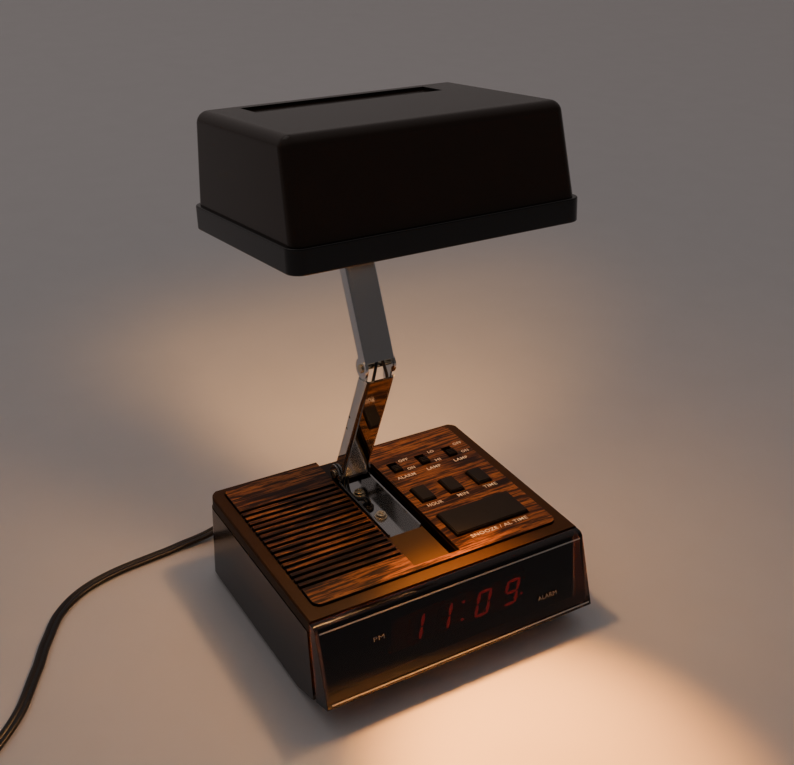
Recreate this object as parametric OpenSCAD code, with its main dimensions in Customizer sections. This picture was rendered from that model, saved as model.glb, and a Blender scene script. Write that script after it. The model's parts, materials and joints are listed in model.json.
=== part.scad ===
// Alarm clock lamp: a digital alarm clock base with a folding two-arm reading lamp.
// Millimetres, +Z up, X to the right as seen from the display side, display towards -Y.

/* [Base] */
// Width of the clock base
base_w = 165; // [155:1:180]
// Depth of the top casing
case_d = 122.5; // [118:0.5:128]
// Height of the top casing's face above the table
base_h = 54.7; // [52:0.1:60]
// Visible height of the top casing's skirt
skirt_h = 6.4; // [5:0.1:8]
// Groove between the top casing and the tub under it
seam = 1; // [0.6:0.1:1.6]
// Wall thickness of the tub and of the skirt
shell_t = 2.2; // [1.8:0.1:2.6]
// Thickness of the top casing's plate
plate_t = 2.7; // [2.4:0.1:3.2]
// Radius of the base's upright back corners
base_r = 8; // [5:0.5:10]
// Bevel round the top casing's upper edge
case_bevel = 0.8; // [0.5:0.1:1.4]
// Height of the rubber feet
foot_h = 2.9; // [2.5:0.1:4]
// Radius of the rubber feet
foot_r = 7; // [5:0.5:8]
// How far the tub's front edge leans forward at its foot
front_lean = 7.3; // [5:0.1:9]
// Depth of the sloping cut under the tub's front
chamfer_d = 17.7; // [14:0.1:20]
// Rise of the sloping cut under the tub's front
chamfer_h = 5.5; // [4:0.1:7]

/* [Woodgrain panel] */
// Width of the woodgrain panel
wood_w = 150; // [142:1:156]
// Depth of the woodgrain panel
wood_d = 111.5; // [108:0.5:113]
// Thickness of the woodgrain panel
wood_t = 2; // [1.6:0.1:2.4]
// How deep the panel sits in the casing
wood_seat = 0.7; // [0.4:0.1:1]
// Corner radius of the woodgrain panel
wood_r = 4.5; // [2:0.5:8]
// Number of sound slots
louvre_count = 17; // [10:1:17]
// Distance from one sound slot to the next
louvre_pitch = 4.48; // [4:0.02:4.5]
// Width of a sound slot
louvre_w = 1.8; // [1:0.1:2.4]

/* [Front lens] */
// Wall thickness of the smoked lens
lens_t = 2.2; // [1.8:0.1:2.4]
// How far the lens stands out at its top edge
lens_out_top = 6.6; // [5.5:0.1:7.5]
// How far the lens stands out at its foot
lens_out_foot = 20.7; // [19.5:0.1:22]
// Radius along the lens's top edge
lens_r = 4; // [3:0.5:5]
// Width of the display module
display_w = 84; // [76:1:90]
// Height of the display module
display_h = 22.5; // [21:0.5:24]
// Height of a digit
digit_h = 17.5; // [15:0.5:18.5]

/* [Buttons and switches] */
// Distance between neighbouring buttons, and between switches
key_pitch = 19.1; // [18:0.1:20]
// Width of the three small buttons
key_w = 9.2; // [8:0.1:10]
// Depth of the three small buttons
key_d = 13.6; // [12:0.1:14.5]
// Depth of the snooze button
snooze_d = 21; // [18:0.5:22]
// How far the buttons stand above the panel
key_up = 2; // [1.6:0.1:2.6]
// Travel of a button
key_travel = 1.5; // [1:0.1:1.6]
// Gap round a button in the panel
key_gap = 0.35; // [0.25:0.05:0.5]
// Width of a slide switch's slot
slot_w = 6.2; // [5.5:0.1:7]
// Length of a slide switch's slot
slot_d = 10; // [9:0.1:11]
// Length of a slide switch's knob
knob_d = 5; // [4:0.1:5.4]

/* [Arms] */
// Length of the lower arm between its pins, along its walls
lower_len = 83.5; // [82:0.1:88]
// Length of the upper arm between its pins, along its walls
upper_len = 87.3; // [84:0.1:89]
// Outer width of the lower arm's channel
lower_w = 17.6; // [17:0.1:18]
// Wall thickness of the arm channels
arm_t = 1; // [0.8:0.1:1.2]
// Depth of the lower arm's channel
lower_d = 8.2; // [7.6:0.1:8.8]
// Depth of the upper arm's channel
upper_d = 7; // [6.6:0.1:7.4]
// Radius of the channels' bends
bend_r = 2.1; // [1.5:0.1:2.5]
// Side play between parts that turn on one pin
side_gap = 0.2; // [0.15:0.05:0.3]
// How far the lower arm leans forward
lower_lean = 18.5; // [15:0.1:22]
// How far the upper arm leans back
upper_lean = 27.3; // [24:0.1:31]
// Radius of the hinge pins
pin_r = 1.5; // [1.3:0.05:1.7]
// Radius of the round ears at the hinges
ear_r = 5.5; // [5:0.1:6]

/* [Shade] */
// Width of the shade's rim
rim_w = 158; // [152:0.5:162]
// Depth of the shade's rim
rim_d = 111.7; // [109:0.1:116]
// Height of the shade's rim
rim_h = 12; // [10:0.5:14]
// Wall thickness of the rim
rim_t = 2.2; // [1.8:0.1:2.6]
// Height of the shade above the rim
shade_h = 45.6; // [43:0.1:50]
// Wall thickness of the shade
shade_t = 2; // [1.6:0.1:2.4]
// How far the shade's sides draw in towards the top
shade_taper = 1.9; // [1.5:0.1:3]
// How far the shade's front slopes back
shade_slope = 7.3; // [4:0.1:9]
// Radius of the shade's edges
shade_r = 6.3; // [4:0.1:7]
// Pitch of the shade, back lower
shade_pitch = 8.3; // [5:0.1:12]

/* [Power cord] */
// Width of the flat cord
cord_w = 6; // [5.6:0.1:6.2]
// Thickness of the flat cord
cord_t = 3.2; // [2.8:0.1:3.4]
// Turns in each of the coil's two layers
coil_turns = 3; // [2:1:3]
// Radius of the coil's innermost turn
coil_in_r = 27; // [26.5:0.5:30]

/* [Hidden] */
$fn = 48;
eps = 0.01;
fit_gap = 0.3;
// Clearance of a screw or pin in its hole
bore_gap = 0.05;

// Base: heights and depths
case_y = 2.25;
case_front = case_y - case_d / 2;
case_back = case_y + case_d / 2;
plate_z = base_h - plate_t;
skirt_z = base_h - skirt_h;
tub_top = skirt_z - seam;
inner_w = base_w - 2 * shell_t;
tub_back = case_back + 1.2;
tub_draft = 2.6;
tub_front = case_front + 2;
tub_foot = tub_front - front_lean;
chamfer_z = foot_h + chamfer_h;
chamfer_y = tub_foot + chamfer_d;
wood_top = base_h - wood_seat + wood_t;
wood_y = case_y + 2;
wood_x0 = -wood_w / 2;
wood_back = wood_y + wood_d / 2;
wood_front = wood_y - wood_d / 2;
// Panel strip that is left in front of the arm recess
wood_strip = 4.55;
key_top = wood_top + key_up;

// Arm recess in the casing, and the tray in it
arm_x = -3.8;
tray_w = lower_w + 2 * (side_gap + fit_gap) + 2 * arm_t;
well_x0 = arm_x - tray_w / 2 - 0.5;
well_x1 = arm_x + tray_w / 2 + 0.5;
slot_x1 = well_x1 + 5.4;
hinge_z = wood_top + 3.4;
slot_front = wood_front + wood_strip;
hinge_y = slot_front + lower_len + 4.2;
tray_back = hinge_y + 3;
well_back = tray_back + 0.5;
well_front = -19.9;
well_floor = base_h - 6.9;
well_t = 2;
pocket_z = well_floor + 3;

// Columns and rows of the controls
key_x = 22.6;
key_y = 3.9;
snooze_y = -27.4;
slot_y = 34.5;
snooze_w = 2 * key_pitch + key_w;
flange_t = 1.3;
flange_out = 1.5;
flange_z = plate_z - fit_gap - flange_t;
key_floor = flange_z;
pcb_t = 1.6;
switch_h = 3.5;
switch_pcb_z = key_floor - key_travel - 0.4 - switch_h - pcb_t;
switch_pcb_x0 = slot_x1 + well_t + 1.2;
switch_pcb_x1 = base_w / 2 - 14;
switch_pcb_y0 = snooze_y - 19;
switch_pcb_y1 = slot_y + 15;

// Front lens and display
face_z1 = base_h - 3.7;
face_y1 = case_front - lens_out_top;
face_z0 = 17;
face_y0 = case_front - lens_out_foot;
face_slope = (face_y1 - face_y0) / (face_z1 - face_z0);
lens_back_gap = 2.8;
display_x = 2;
display_y = -65;
display_t = 5.5;
display_z = 31.8;

// Arms
// The upper arm's ears go outside the lower arm's, whose ears are set in
ear_in = 0.1;
upper_w = lower_w + 2 * ear_in + 2 * side_gap;
// How far each hinge lies in front of its arm's open side
foot_inset = 3.1;
elbow_inset = 0.4;
upper_inset = 0.7;
lower_skew = foot_inset - elbow_inset;
upper_skew = 2.7;
head_r = 2.4;
elbow_r = ear_r + 0.1;
lower_web_z0 = 1.6;
lower_web_z1 = lower_len - 4;
upper_web_z0 = 1.9;
upper_web_z1 = upper_len - 6.5;

// Shade, in its own frame: origin under the front edge of the rim
pivot_y = 91.1;
pivot_z = 6.4;
bracket_t = 1;
bracket_web_y = rim_d - rim_t - 3.9;
rim_in = 2;
shade_z = rim_h;
shade_top = shade_z + shade_h;

// Posts, screws and bores
case_screw_x = base_w / 2 - 8.5;
case_screw_ys = [-38, 48];
foot_x = base_w / 2 - 24;
foot_ys = [-34, 44];
post_split = 20;
screw_r = 1.5;
tray_screw_ys = [5.5, 30];
bushing_y = 16;

// Mains cord: its exit, and the points of its free stretches
cord_x = -16;
cord_exit_z = 16;
grip_out = 14;
cord_route = [
    [-17, 84, 15], [-20.5, 90, 13.3], [-26.5, 95, 11.4], [-34.5, 98, 9.4],
    [-44, 98, 7.5], [-54, 96.5, 6], [-63, 94, 5], [-72, 92, 4], [-80, 91.5, 3],
    [-89, 91.5, 2], [-98, 90.5, 1.5], [-107, 89.5, 1.5], [-116, 88.5, 1.5],
    [-125, 87.4, 1.5], [-134, 85.8, 1.5], [-142, 83.7, 1.5], [-149.5, 81, 1.5],
    [-156.5, 77.5, 1.5], [-162.5, 73.5, 1.5], [-168, 68.8, 1.5], [-173, 63.5, 1.5],
    [-177.2, 57.5, 1.5], [-181, 51.3, 1.5], [-185, 45, 1.5], [-188.6, 38.5, 1.5],
    [-192, 32, 1.5], [-196, 25.6, 1.5], [-199.8, 19.2, 1.5], [-203.6, 12.8, 1.5],
    [-208, 6, 1.5], [-213.4, -0.6, 1.5], [-219, -6.6, 1.5], [-225.2, -12.6, 1.5],
    [-231.2, -19, 1.5], [-236.8, -26, 1.5], [-241.4, -33.6, 1.5]
];
coil_centre = [-292, -38];
coil_pitch = cord_w + 1;
coil_rise = cord_t + 0.7;
// The six-sided coil is flat below and above, so it is less thick
coil_t = cord_t * sin(60);
coil_dip = 2.5;
tie_t = 0.6;
coil_out_r = coil_in_r + coil_pitch * coil_turns;
coil_turn0 = -15;
coil_z = coil_t / 2 + 0.05;
cord_tail = [
    [-252, -63, 5.2], [-256, -72, 4.4], [-260, -81, 3.4], [-265, -90, 2.9],
    [-271, -98, 3.4], [-278, -105, 4.4], [-286, -111, 5.6]
];

// Basic shapes
module extrude_x(w) { rotate([90, 0, 90]) linear_extrude(w, center = true) children(); }

module extrude_y(d) { rotate([90, 0, 0]) linear_extrude(d, center = true) children(); }

module round_rect(w, d, r) {
    square([w - 2 * r, d], center = true);
    square([w, d - 2 * r], center = true);
    for (sx = [-1, 1])
        for (sy = [-1, 1])
            translate([sx * (w / 2 - r), sy * (d / 2 - r)]) circle(r);
}

module block(x0, x1, y0, y1, z0, z1) {
    translate([x0, y0, z0]) cube([x1 - x0, y1 - y0, z1 - z0]);
}

module rod_x(r, x0, x1) { translate([x0, 0, 0]) rotate([0, 90, 0]) cylinder(r = r, h = x1 - x0); }

module rod_y(r, y0, y1) { translate([0, y0, 0]) rotate([-90, 0, 0]) cylinder(r = r, h = y1 - y0); }

module screw(shank_r, head, head_h, length) {
    difference() {
        union() {
            translate([0, 0, -eps]) cylinder(r = shank_r, h = length + eps);
            translate([0, 0, -head_h]) cylinder(r = head, h = head_h);
        }
        for (a = [0, 90])
            rotate(a) translate([-head * 0.6, -0.35, -head_h - eps]) cube([head * 1.2, 0.7, 0.8]);
    }
}

module hollow_post(r, bore, z0, z1) {
    translate([0, 0, z0])
        difference() {
            cylinder(r = r, h = z1 - z0);
            translate([0, 0, -eps]) cylinder(r = bore, h = z1 - z0 + 2 * eps);
        }
}

// A tube swept along points: rings of an oval section, up is never along the route
function unit(v) = v / norm(v);
function along(p, i) = unit(p[min(i + 1, len(p) - 1)] - p[max(i - 1, 0)]);
function ring(p, i, w, t, n, up) =
    let (d = along(p, i), s = unit(cross(d, up)), u = cross(s, d))
    [for (k = [0:n - 1])
        let (a = 360 * (k + (n == 6 ? 0 : 0.5)) / n)
        p[i] + s * (w / 2) * cos(a) + u * (t / 2) * sin(a)];

module swept(p, w, t, n = 8, up = [0, 0, 1]) {
    m = len(p);
    points = [for (i = [0:m - 1]) each ring(p, i, w, t, n, up)];
    sides = [for (i = [0:m - 2]) for (k = [0:n - 1])
        let (a = i * n + k, b = i * n + (k + 1) % n)
        each [[a, b, b + n], [a, b + n, a + n]]];
    first = [for (k = [1:n - 2]) [0, k + 1, k]];
    last = [for (k = [1:n - 2]) [(m - 1) * n, (m - 1) * n + k, (m - 1) * n + k + 1]];
    polyhedron(points, concat(sides, first, last));
}

// Frames of the moving parts
module at_base_hinge() { translate([arm_x, hinge_y, hinge_z]) rotate([lower_lean, 0, 0]) children(); }

module at_elbow() {
    at_base_hinge() translate([0, lower_skew, lower_len]) rotate([-lower_lean - upper_lean, 0, 0]) children();
}

module at_shade_pivot() {
    at_elbow() translate([0, -upper_skew, upper_len]) rotate([upper_lean - shade_pitch, 0, 0]) children();
}

module at_shade() { at_shade_pivot() translate([-arm_x, -pivot_y, -pivot_z]) children(); }

// Plan outline with round back corners and a straight front
module base_plan(inset, front_y, back_y) {
    reach = 60;
    translate([0, (front_y - reach + back_y - inset) / 2])
        round_rect(base_w - 2 * inset, back_y - inset - front_y + reach, base_r - inset);
}

// Clock base
tub_side = [
    [tub_back, foot_h], [tub_back - tub_draft, tub_top], [tub_front, tub_top],
    [tub_foot, chamfer_z], [chamfer_y, foot_h]
];
tub_inner = [
    [tub_back - shell_t, foot_h + shell_t], [tub_back - tub_draft - shell_t, tub_top + 1],
    [tub_front - 12, tub_top + 1], [tub_foot - 12, chamfer_z + shell_t + 12 * chamfer_h / chamfer_d],
    [chamfer_y, foot_h + shell_t]
];

module lower_case() {
    color([0.2, 0.11, 0.07])
        difference() {
            union() {
                difference() {
                    intersection() {
                        extrude_x(base_w) polygon(tub_side);
                        linear_extrude(tub_top + 10) base_plan(0, tub_foot, tub_back);
                    }
                    intersection() {
                        extrude_x(inner_w) polygon(tub_inner);
                        linear_extrude(tub_top + 10) base_plan(shell_t, tub_foot, tub_back);
                    }
                }
                for (sx = [-1, 1], y = case_screw_ys)
                    translate([sx * case_screw_x, y, foot_h]) cylinder(r = 4.5, h = post_split - foot_h);
                for (x = [board_x0 + 5, board_x1 - 5], y = [board_y0 + 5, board_y1 - 5])
                    translate([x, y, foot_h]) cylinder(r = 3.2, h = board_z - foot_h);
            }
            for (sx = [-1, 1], y = case_screw_ys)
                translate([sx * case_screw_x, y, foot_h - eps]) {
                    cylinder(r = screw_r + bore_gap, h = post_split);
                    cylinder(r = 3.1, h = 6 + eps);
                }
            for (x = [board_x0 + 5, board_x1 - 5], y = [board_y0 + 5, board_y1 - 5])
                translate([x, y, foot_h + shell_t]) cylinder(r = 1.2 + bore_gap, h = board_z);
            translate([cord_x, tub_back - shell_t / 2, cord_exit_z])
                cube([grip_neck_w + 0.2, 3 * shell_t, grip_neck_t + 0.2], center = true);
        }
}

module well_cut() {
    block(well_x0, well_x1, well_front, well_back, well_floor, base_h + 5);
    block(well_x1 - eps, slot_x1, slot_front, well_back, well_floor, base_h + 5);
    block(well_x0, well_x1, well_back - eps, case_back + 5, pocket_z, base_h + 5);
}

module key_hole(x, y, w, d) {
    translate([x, y, 0])
        block(-w / 2 - key_gap, w / 2 + key_gap, -d / 2 - key_gap, d / 2 + key_gap, flange_z, wood_top + 1);
}

module control_holes() {
    for (i = [0:2]) {
        key_hole(key_x + i * key_pitch, key_y, key_w, key_d);
        translate([key_x + i * key_pitch, slot_y, 0])
            block(-slot_w / 2, slot_w / 2, -slot_d / 2, slot_d / 2, flange_z, wood_top + 1);
    }
    key_hole(key_x + key_pitch, snooze_y, snooze_w, snooze_d);
}

module louvres(x0) {
    for (i = [0:louvre_count - 1])
        translate([0, wood_front + 51.7 + (i - (louvre_count - 1) / 2) * louvre_pitch, 0])
            block(x0, well_x0 - 2, -louvre_w / 2, louvre_w / 2, plate_z - 1, wood_top + 1);
}

switch_post_xs = [switch_pcb_x0 + 4, switch_pcb_x1 - 4];
switch_post_ys = [switch_pcb_y0 + 3.2, switch_pcb_y1 - 3.2];

module upper_case() {
    b = case_bevel;
    yz = [
        [case_front, skirt_z], [case_back, skirt_z], [case_back, base_h - b], [case_back - b, base_h],
        [case_front, base_h]
    ];
    xz = [
        [-base_w / 2, skirt_z], [base_w / 2, skirt_z], [base_w / 2, base_h - b],
        [base_w / 2 - b, base_h], [b - base_w / 2, base_h], [-base_w / 2, base_h - b]
    ];
    color([0.33, 0.2, 0.11])
        difference() {
            union() {
                difference() {
                    intersection() {
                        extrude_x(base_w) polygon(yz);
                        extrude_y(2 * case_d) polygon(xz);
                        linear_extrude(base_h + 10) base_plan(0, case_front, case_back);
                    }
                    difference() {
                        linear_extrude(plate_z) base_plan(shell_t, case_front, case_back);
                        block(-base_w, base_w, -base_w, case_front + shell_t, 0, base_h);
                    }
                    translate([0, wood_y, base_h - wood_seat])
                        linear_extrude(5) round_rect(wood_w + 1, wood_d + 1, wood_r + 0.5);
                }
                block(well_x0 - 0.6, well_x1, slot_front - 0.6, well_front, plate_z, base_h);
                block(well_x0 - well_t, slot_x1 + well_t, slot_front - well_t, well_back + well_t,
                    well_floor - well_t, plate_z + eps);
                block(well_x0 - well_t, well_x1 + well_t, well_back, case_back - eps, skirt_z, plate_z + eps);
                for (sx = [-1, 1], y = case_screw_ys)
                    translate([sx * case_screw_x, y, post_split + fit_gap])
                        cylinder(r = 4.5, h = plate_z - post_split - fit_gap + eps);
                for (x = switch_post_xs, y = switch_post_ys)
                    translate([x, y, switch_pcb_z + pcb_t])
                        cylinder(r = 3, h = plate_z - switch_pcb_z - pcb_t + eps);
                for (y = tray_screw_ys)
                    translate([arm_x, y, well_floor - well_t - 6]) cylinder(r = 3.5, h = 6 + eps);
            }
            well_cut();
            control_holes();
            louvres(1 + wood_x0);
            for (sx = [-1, 1], y = case_screw_ys)
                translate([sx * case_screw_x, y, post_split]) cylinder(r = screw_r + bore_gap, h = 20);
            for (x = switch_post_xs, y = switch_post_ys)
                translate([x, y, switch_pcb_z]) cylinder(r = 1.2 + bore_gap, h = 7.5);
            for (y = tray_screw_ys)
                translate([arm_x, y, well_floor - well_t - 5]) cylinder(r = screw_r + bore_gap, h = 20);
            translate([bushing_x, bushing_y, well_floor - 10]) cylinder(r = bushing_r + bore_gap, h = 20);
        }
}

module woodgrain_panel() {
    color([0.62, 0.36, 0.15])
        difference() {
            translate([0, wood_y, base_h - wood_seat]) linear_extrude(wood_t) round_rect(wood_w, wood_d, wood_r);
            block(well_x0 - 0.8, slot_x1 + 0.2, slot_front - 0.8, well_back + 0.2, base_h - 5, wood_top + 1);
            block(well_x0 - 0.8, well_x1 + 0.2, well_back, wood_back + 1, base_h - 5, wood_top + 1);
            control_holes();
            louvres(wood_x0 - 1);
        }
}

// Lens: side outline with a round top edge
function arc(cx, cy, r, a0, a1, n) = [for (i = [0:n]) let (a = a0 + (a1 - a0) * i / n) [cx + r * cos(a), cy + r * sin(a)]];
face_lean = atan(face_slope);
lens_top = base_h - 0.8;
lens_back_top = case_front - fit_gap;
lens_foot_y = face_y0 - 0.6;
lens_foot_z = chamfer_z + chamfer_h / chamfer_d * (tub_foot - lens_foot_y);

function lens_outline(t) =
    let (r = lens_r - t,
        top = lens_top - t,
        cz = top - r,
        cy = face_y1 - (cz - face_z1) * -face_slope + t / cos(face_lean) + r / cos(face_lean),
        a1 = 180 + face_lean * -1)
    concat(
        [[lens_back_top + (t > 0 ? 5 : 0), top]],
        arc(cy, cz, r, 90, a1, 6),
        [[lens_foot_y + t + 0.8, lens_foot_z + t + 1.2], [lens_foot_y + t + 1.6, lens_foot_z + t * 1.1]],
        [[tub_foot - lens_back_gap + (t > 0 ? 8 : 0),
            chamfer_z + chamfer_h / chamfer_d * (lens_back_gap - (t > 0 ? 8 : 0)) + t * 1.1]],
        t > 0 ? [[tub_front + 6, tub_top]] : [[tub_front - lens_back_gap, tub_top]]
    );

module front_lens() {
    color([0.2, 0.12, 0.09, 0.6])
        difference() {
            extrude_x(base_w) polygon(lens_outline(0));
            extrude_x(base_w - 2 * lens_t) polygon(lens_outline(lens_t));
        }
}

frame_t = lens_back_gap - 2 * fit_gap;
function frame_y(z) = tub_front - fit_gap - (tub_top - z) * front_lean / (tub_top - chamfer_z);

module display_frame() {
    z0 = chamfer_z + 1.2;
    z1 = tub_top + 0.4;
    outline = [
        [frame_y(z0), z0], [frame_y(z1), z1], [frame_y(z1) - frame_t, z1], [frame_y(z0) - frame_t, z0]
    ];
    color([0.1, 0.06, 0.05])
        difference() {
            extrude_x(base_w - 2 * lens_t - 1) polygon(outline);
            translate([display_x, display_y, display_z])
                cube([display_w + 0.4, 30, display_h + 0.4], center = true);
        }
}

digit_w = digit_h * 0.52;
digit_xs = [-24.5, -7.5, 17.5, 36];
// Lit strokes of each digit: top, upper right, lower right, foot, lower left, upper left, middle
digit_strokes = [[1, 2], [1, 2], [0, 1, 2, 3, 4, 5], [0, 1, 2, 3, 5, 6]];
stroke_t = 1.5;

module stroke(k) {
    h = digit_h / 2;
    w = digit_w / 2;
    if (k == 0 || k == 3 || k == 6) {
        z = k == 0 ? h - stroke_t / 2 : k == 3 ? stroke_t / 2 - h : 0;
        translate([0, 0, z]) cube([digit_w - 2 * stroke_t - 0.4, 0.3, stroke_t], center = true);
    } else {
        x = (k < 3) ? w - stroke_t / 2 : stroke_t / 2 - w;
        z = (k == 1 || k == 5) ? h / 2 : -h / 2;
        translate([x, 0, z]) cube([stroke_t, 0.3, h - stroke_t], center = true);
    }
}

module led_display() {
    color([0.14, 0.07, 0.06])
        translate([display_x, display_y + display_t / 2, display_z]) cube([display_w, display_t, display_h], center = true);
}

module display_digits() {
    color([0.9, 0.1, 0.08])
        translate([0, display_y - 0.15, display_z - 0.6]) {
            for (i = [0:3])
                translate([digit_xs[i], 0, 0])
                    for (k = digit_strokes[i]) stroke(k);
            for (z = [-3.4, 3.4])
                translate([4.4, 0, z]) rotate([90, 0, 0]) cylinder(r = 0.9, h = 0.3, center = true);
            translate([43, 0, -3.2]) cube([1.1, 0.3, 3], center = true);
        }
}

// Electronics
board_x0 = -8;
board_x1 = case_screw_x - 7;
board_y0 = -40;
board_y1 = 36;
board_z = 12;

module main_board() {
    color([0.16, 0.36, 0.16])
        difference() {
            block(board_x0, board_x1, board_y0, board_y1, board_z, board_z + pcb_t);
            for (x = [board_x0 + 5, board_x1 - 5], y = [board_y0 + 5, board_y1 - 5])
                translate([x, y, board_z - 1]) cylinder(r = 1.2 + bore_gap, h = 5);
        }
}

module board_parts() {
    z = board_z + pcb_t;
    color([0.12, 0.12, 0.13]) {
        // Clock chip, its legs' rows and the triac
        block(8, 60, -22, -8, z + 0.8, z + 4.8);
        for (x = [10, 58]) block(x - 0.6, x + 0.6, -23, -7, z, z + 1.6);
        block(48, 58, 14, 18, z, z + 14);
        // Smoothing capacitors and the film capacitor
        for (x = [6, 20]) translate([x, 20, z]) cylinder(r = 5.5, h = 18);
        translate([36, 22, z]) cylinder(r = 4, h = 12);
        block(26, 40, 2, 8, z, z + 10);
        // Rectifier diodes
        for (x = [2, 8, 14, 20]) translate([x, 3, z + 1.4]) rod_y(1.4, -3, 3);
    }
}

module board_screws() {
    color([0.75, 0.75, 0.78])
        for (x = [board_x0 + 5, board_x1 - 5], y = [board_y0 + 5, board_y1 - 5])
            translate([x, y, board_z + pcb_t]) rotate([180, 0, 0]) screw(1.2, 2.3, 1.5, 7);
}

module switch_board() {
    color([0.16, 0.36, 0.16])
        difference() {
            block(switch_pcb_x0, switch_pcb_x1, switch_pcb_y0, switch_pcb_y1, switch_pcb_z, switch_pcb_z + pcb_t);
            for (x = switch_post_xs, y = switch_post_ys)
                translate([x, y, switch_pcb_z - 1]) cylinder(r = 1.2 + bore_gap, h = 5);
        }
}

module switch_board_screws() {
    color([0.75, 0.75, 0.78])
        for (x = switch_post_xs, y = switch_post_ys)
            translate([x, y, switch_pcb_z]) screw(1.2, 2.3, 1.5, 7);
}

module key_switches() {
    color([0.2, 0.2, 0.22])
        for (p = concat([for (i = [0:2]) [key_x + i * key_pitch, key_y]], [[key_x + key_pitch, snooze_y]]))
            translate([p[0], p[1], switch_pcb_z + pcb_t]) {
                block(-3, 3, -3, 3, 0, switch_h - 0.9);
                cylinder(r = 1.7, h = switch_h);
            }
}

can_z1 = plate_z - fit_gap;
can_z0 = switch_pcb_z + pcb_t;
knob_foot = can_z0 + 2;

module slide_switches() {
    color([0.7, 0.7, 0.72])
        for (i = [0:2])
            translate([key_x + i * key_pitch, slot_y, 0])
                difference() {
                    block(-4.6, 4.6, -slot_d / 2 - 2.5, slot_d / 2 + 2.5, can_z0, can_z1);
                    block(-3.2, 3.2, -slot_d / 2, slot_d / 2, knob_foot - fit_gap, can_z1 + 1);
                }
}

module inner_leads() {
    color([0.15, 0.15, 0.16]) {
        // Ribbon from the main board up to the switch board
        block(30, 50, 30, 31, board_z + pcb_t, switch_pcb_z);
        // Ribbon from the main board to the display
        block(10, 34, -37, -36, board_z + pcb_t, display_z - 6);
        block(10, 34, display_y + display_t, -36 - eps, display_z - 6 - eps, display_z - 5);
    }
    color([0.12, 0.09, 0.08]) {
        // Mains lead from the grip to the transformer
        swept([[cord_x, grip_in_y, cord_exit_z], [cord_x, grip_in_y - 4, cord_exit_z],
            [cord_x - 1.5, grip_in_y - 9, cord_exit_z], [cord_x - 5, grip_in_y - 15, cord_exit_z]], cord_w - 1, cord_t - 0.4);
        // Lamp lead from the board up to the bushing
        swept([[bushing_x, 24, board_z + pcb_t + 2], [bushing_x, 18, board_z + pcb_t + 5], [bushing_x, bushing_y, 26],
            [bushing_x, bushing_y, bushing_z0 - 0.05]], 2.6, 1.6, 8, [1, 0, 0]);
    }
}

// Transformer, at the back on the left
trafo = [-46, 33];
trafo_w = 44;
trafo_h = 33;
trafo_z = foot_h + shell_t + 0.6;

module transformer_core() {
    color([0.35, 0.35, 0.37])
        translate([trafo[0], trafo[1], trafo_z])
            difference() {
                block(-trafo_w / 2, trafo_w / 2, -9, 9, 0, trafo_h);
                for (s = [-1, 1])
                    translate([s * 11, 0, 0]) block(-4, 4, -10, 10, 6, trafo_h - 6);
            }
}

module transformer_coil() {
    color([0.75, 0.6, 0.3])
        translate([trafo[0], trafo[1], trafo_z])
            difference() {
                block(-14.7, 14.7, -16, 16, 6.3, trafo_h - 6.3);
                for (s = [-1, 1]) {
                    translate([s * 20, 0, 0]) block(-5, 5, -9.3, 9.3, 0, trafo_h);
                    block(-7.3, 7.3, -9.3, 9.3, 0, trafo_h);
                }
            }
}

module transformer_clamp() {
    t = 1;
    color([0.6, 0.6, 0.62])
        translate([trafo[0], trafo[1], trafo_z])
            difference() {
                union() {
                    block(-trafo_w / 2 - t, trafo_w / 2 + t, -6, 6, 0.2, trafo_h + t);
                    for (s = [-1, 1]) translate([s * (trafo_w / 2 + 5), 0, 0]) block(-6, 6, -6, 6, -0.6, 0.6);
                }
                block(-trafo_w / 2, trafo_w / 2, -10, 10, -5, trafo_h);
                for (s = [-1, 1]) translate([s * (trafo_w / 2 + 7), 0, -5]) cylinder(r = 1.8, h = 10);
            }
}

// Speaker under the sound slots
speaker = [-44.5, -3];
speaker_r = 25;

module speaker_basket() {
    color([0.5, 0.5, 0.52])
        translate([speaker[0], speaker[1], 0])
            rotate_extrude()
                polygon([[speaker_r - 4, plate_z - fit_gap - 1.2], [speaker_r + 1.5, plate_z - fit_gap - 1.2],
                    [speaker_r + 1.5, plate_z - fit_gap], [speaker_r - 3, plate_z - fit_gap], [11, plate_z - 10],
                    [4, plate_z - 10], [4, plate_z - 11.2], [12, plate_z - 11.2]]);
}

module speaker_magnet() {
    color([0.25, 0.25, 0.27])
        translate([speaker[0], speaker[1], plate_z - 11.2 - 7]) cylinder(r = 13, h = 7);
}

module speaker_cone() {
    color([0.16, 0.15, 0.14])
        translate([speaker[0], speaker[1], 0])
            rotate_extrude()
                polygon([[0, plate_z - 8.2], [8, plate_z - 8.2], [speaker_r - 4.6, plate_z - 1.1],
                    [speaker_r - 3.6, plate_z - 0.7], [speaker_r - 4.8, plate_z - 0.4], [8, plate_z - 7.2],
                    [0, plate_z - 6]]);
}

module rubber_feet() {
    color([0.06, 0.06, 0.06])
        for (sx = [-1, 1], y = foot_ys)
            translate([sx * foot_x, y, 0]) {
                cylinder(r1 = foot_r - 0.6, r2 = foot_r, h = 0.8);
                translate([0, 0, 0.8]) cylinder(r = foot_r, h = foot_h - 0.8);
            }
}

module case_screws() {
    color([0.7, 0.7, 0.72])
        for (sx = [-1, 1], y = case_screw_ys)
            translate([sx * case_screw_x, y, foot_h + 6]) screw(screw_r, 2.8, 1.8, 26);
}

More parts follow.
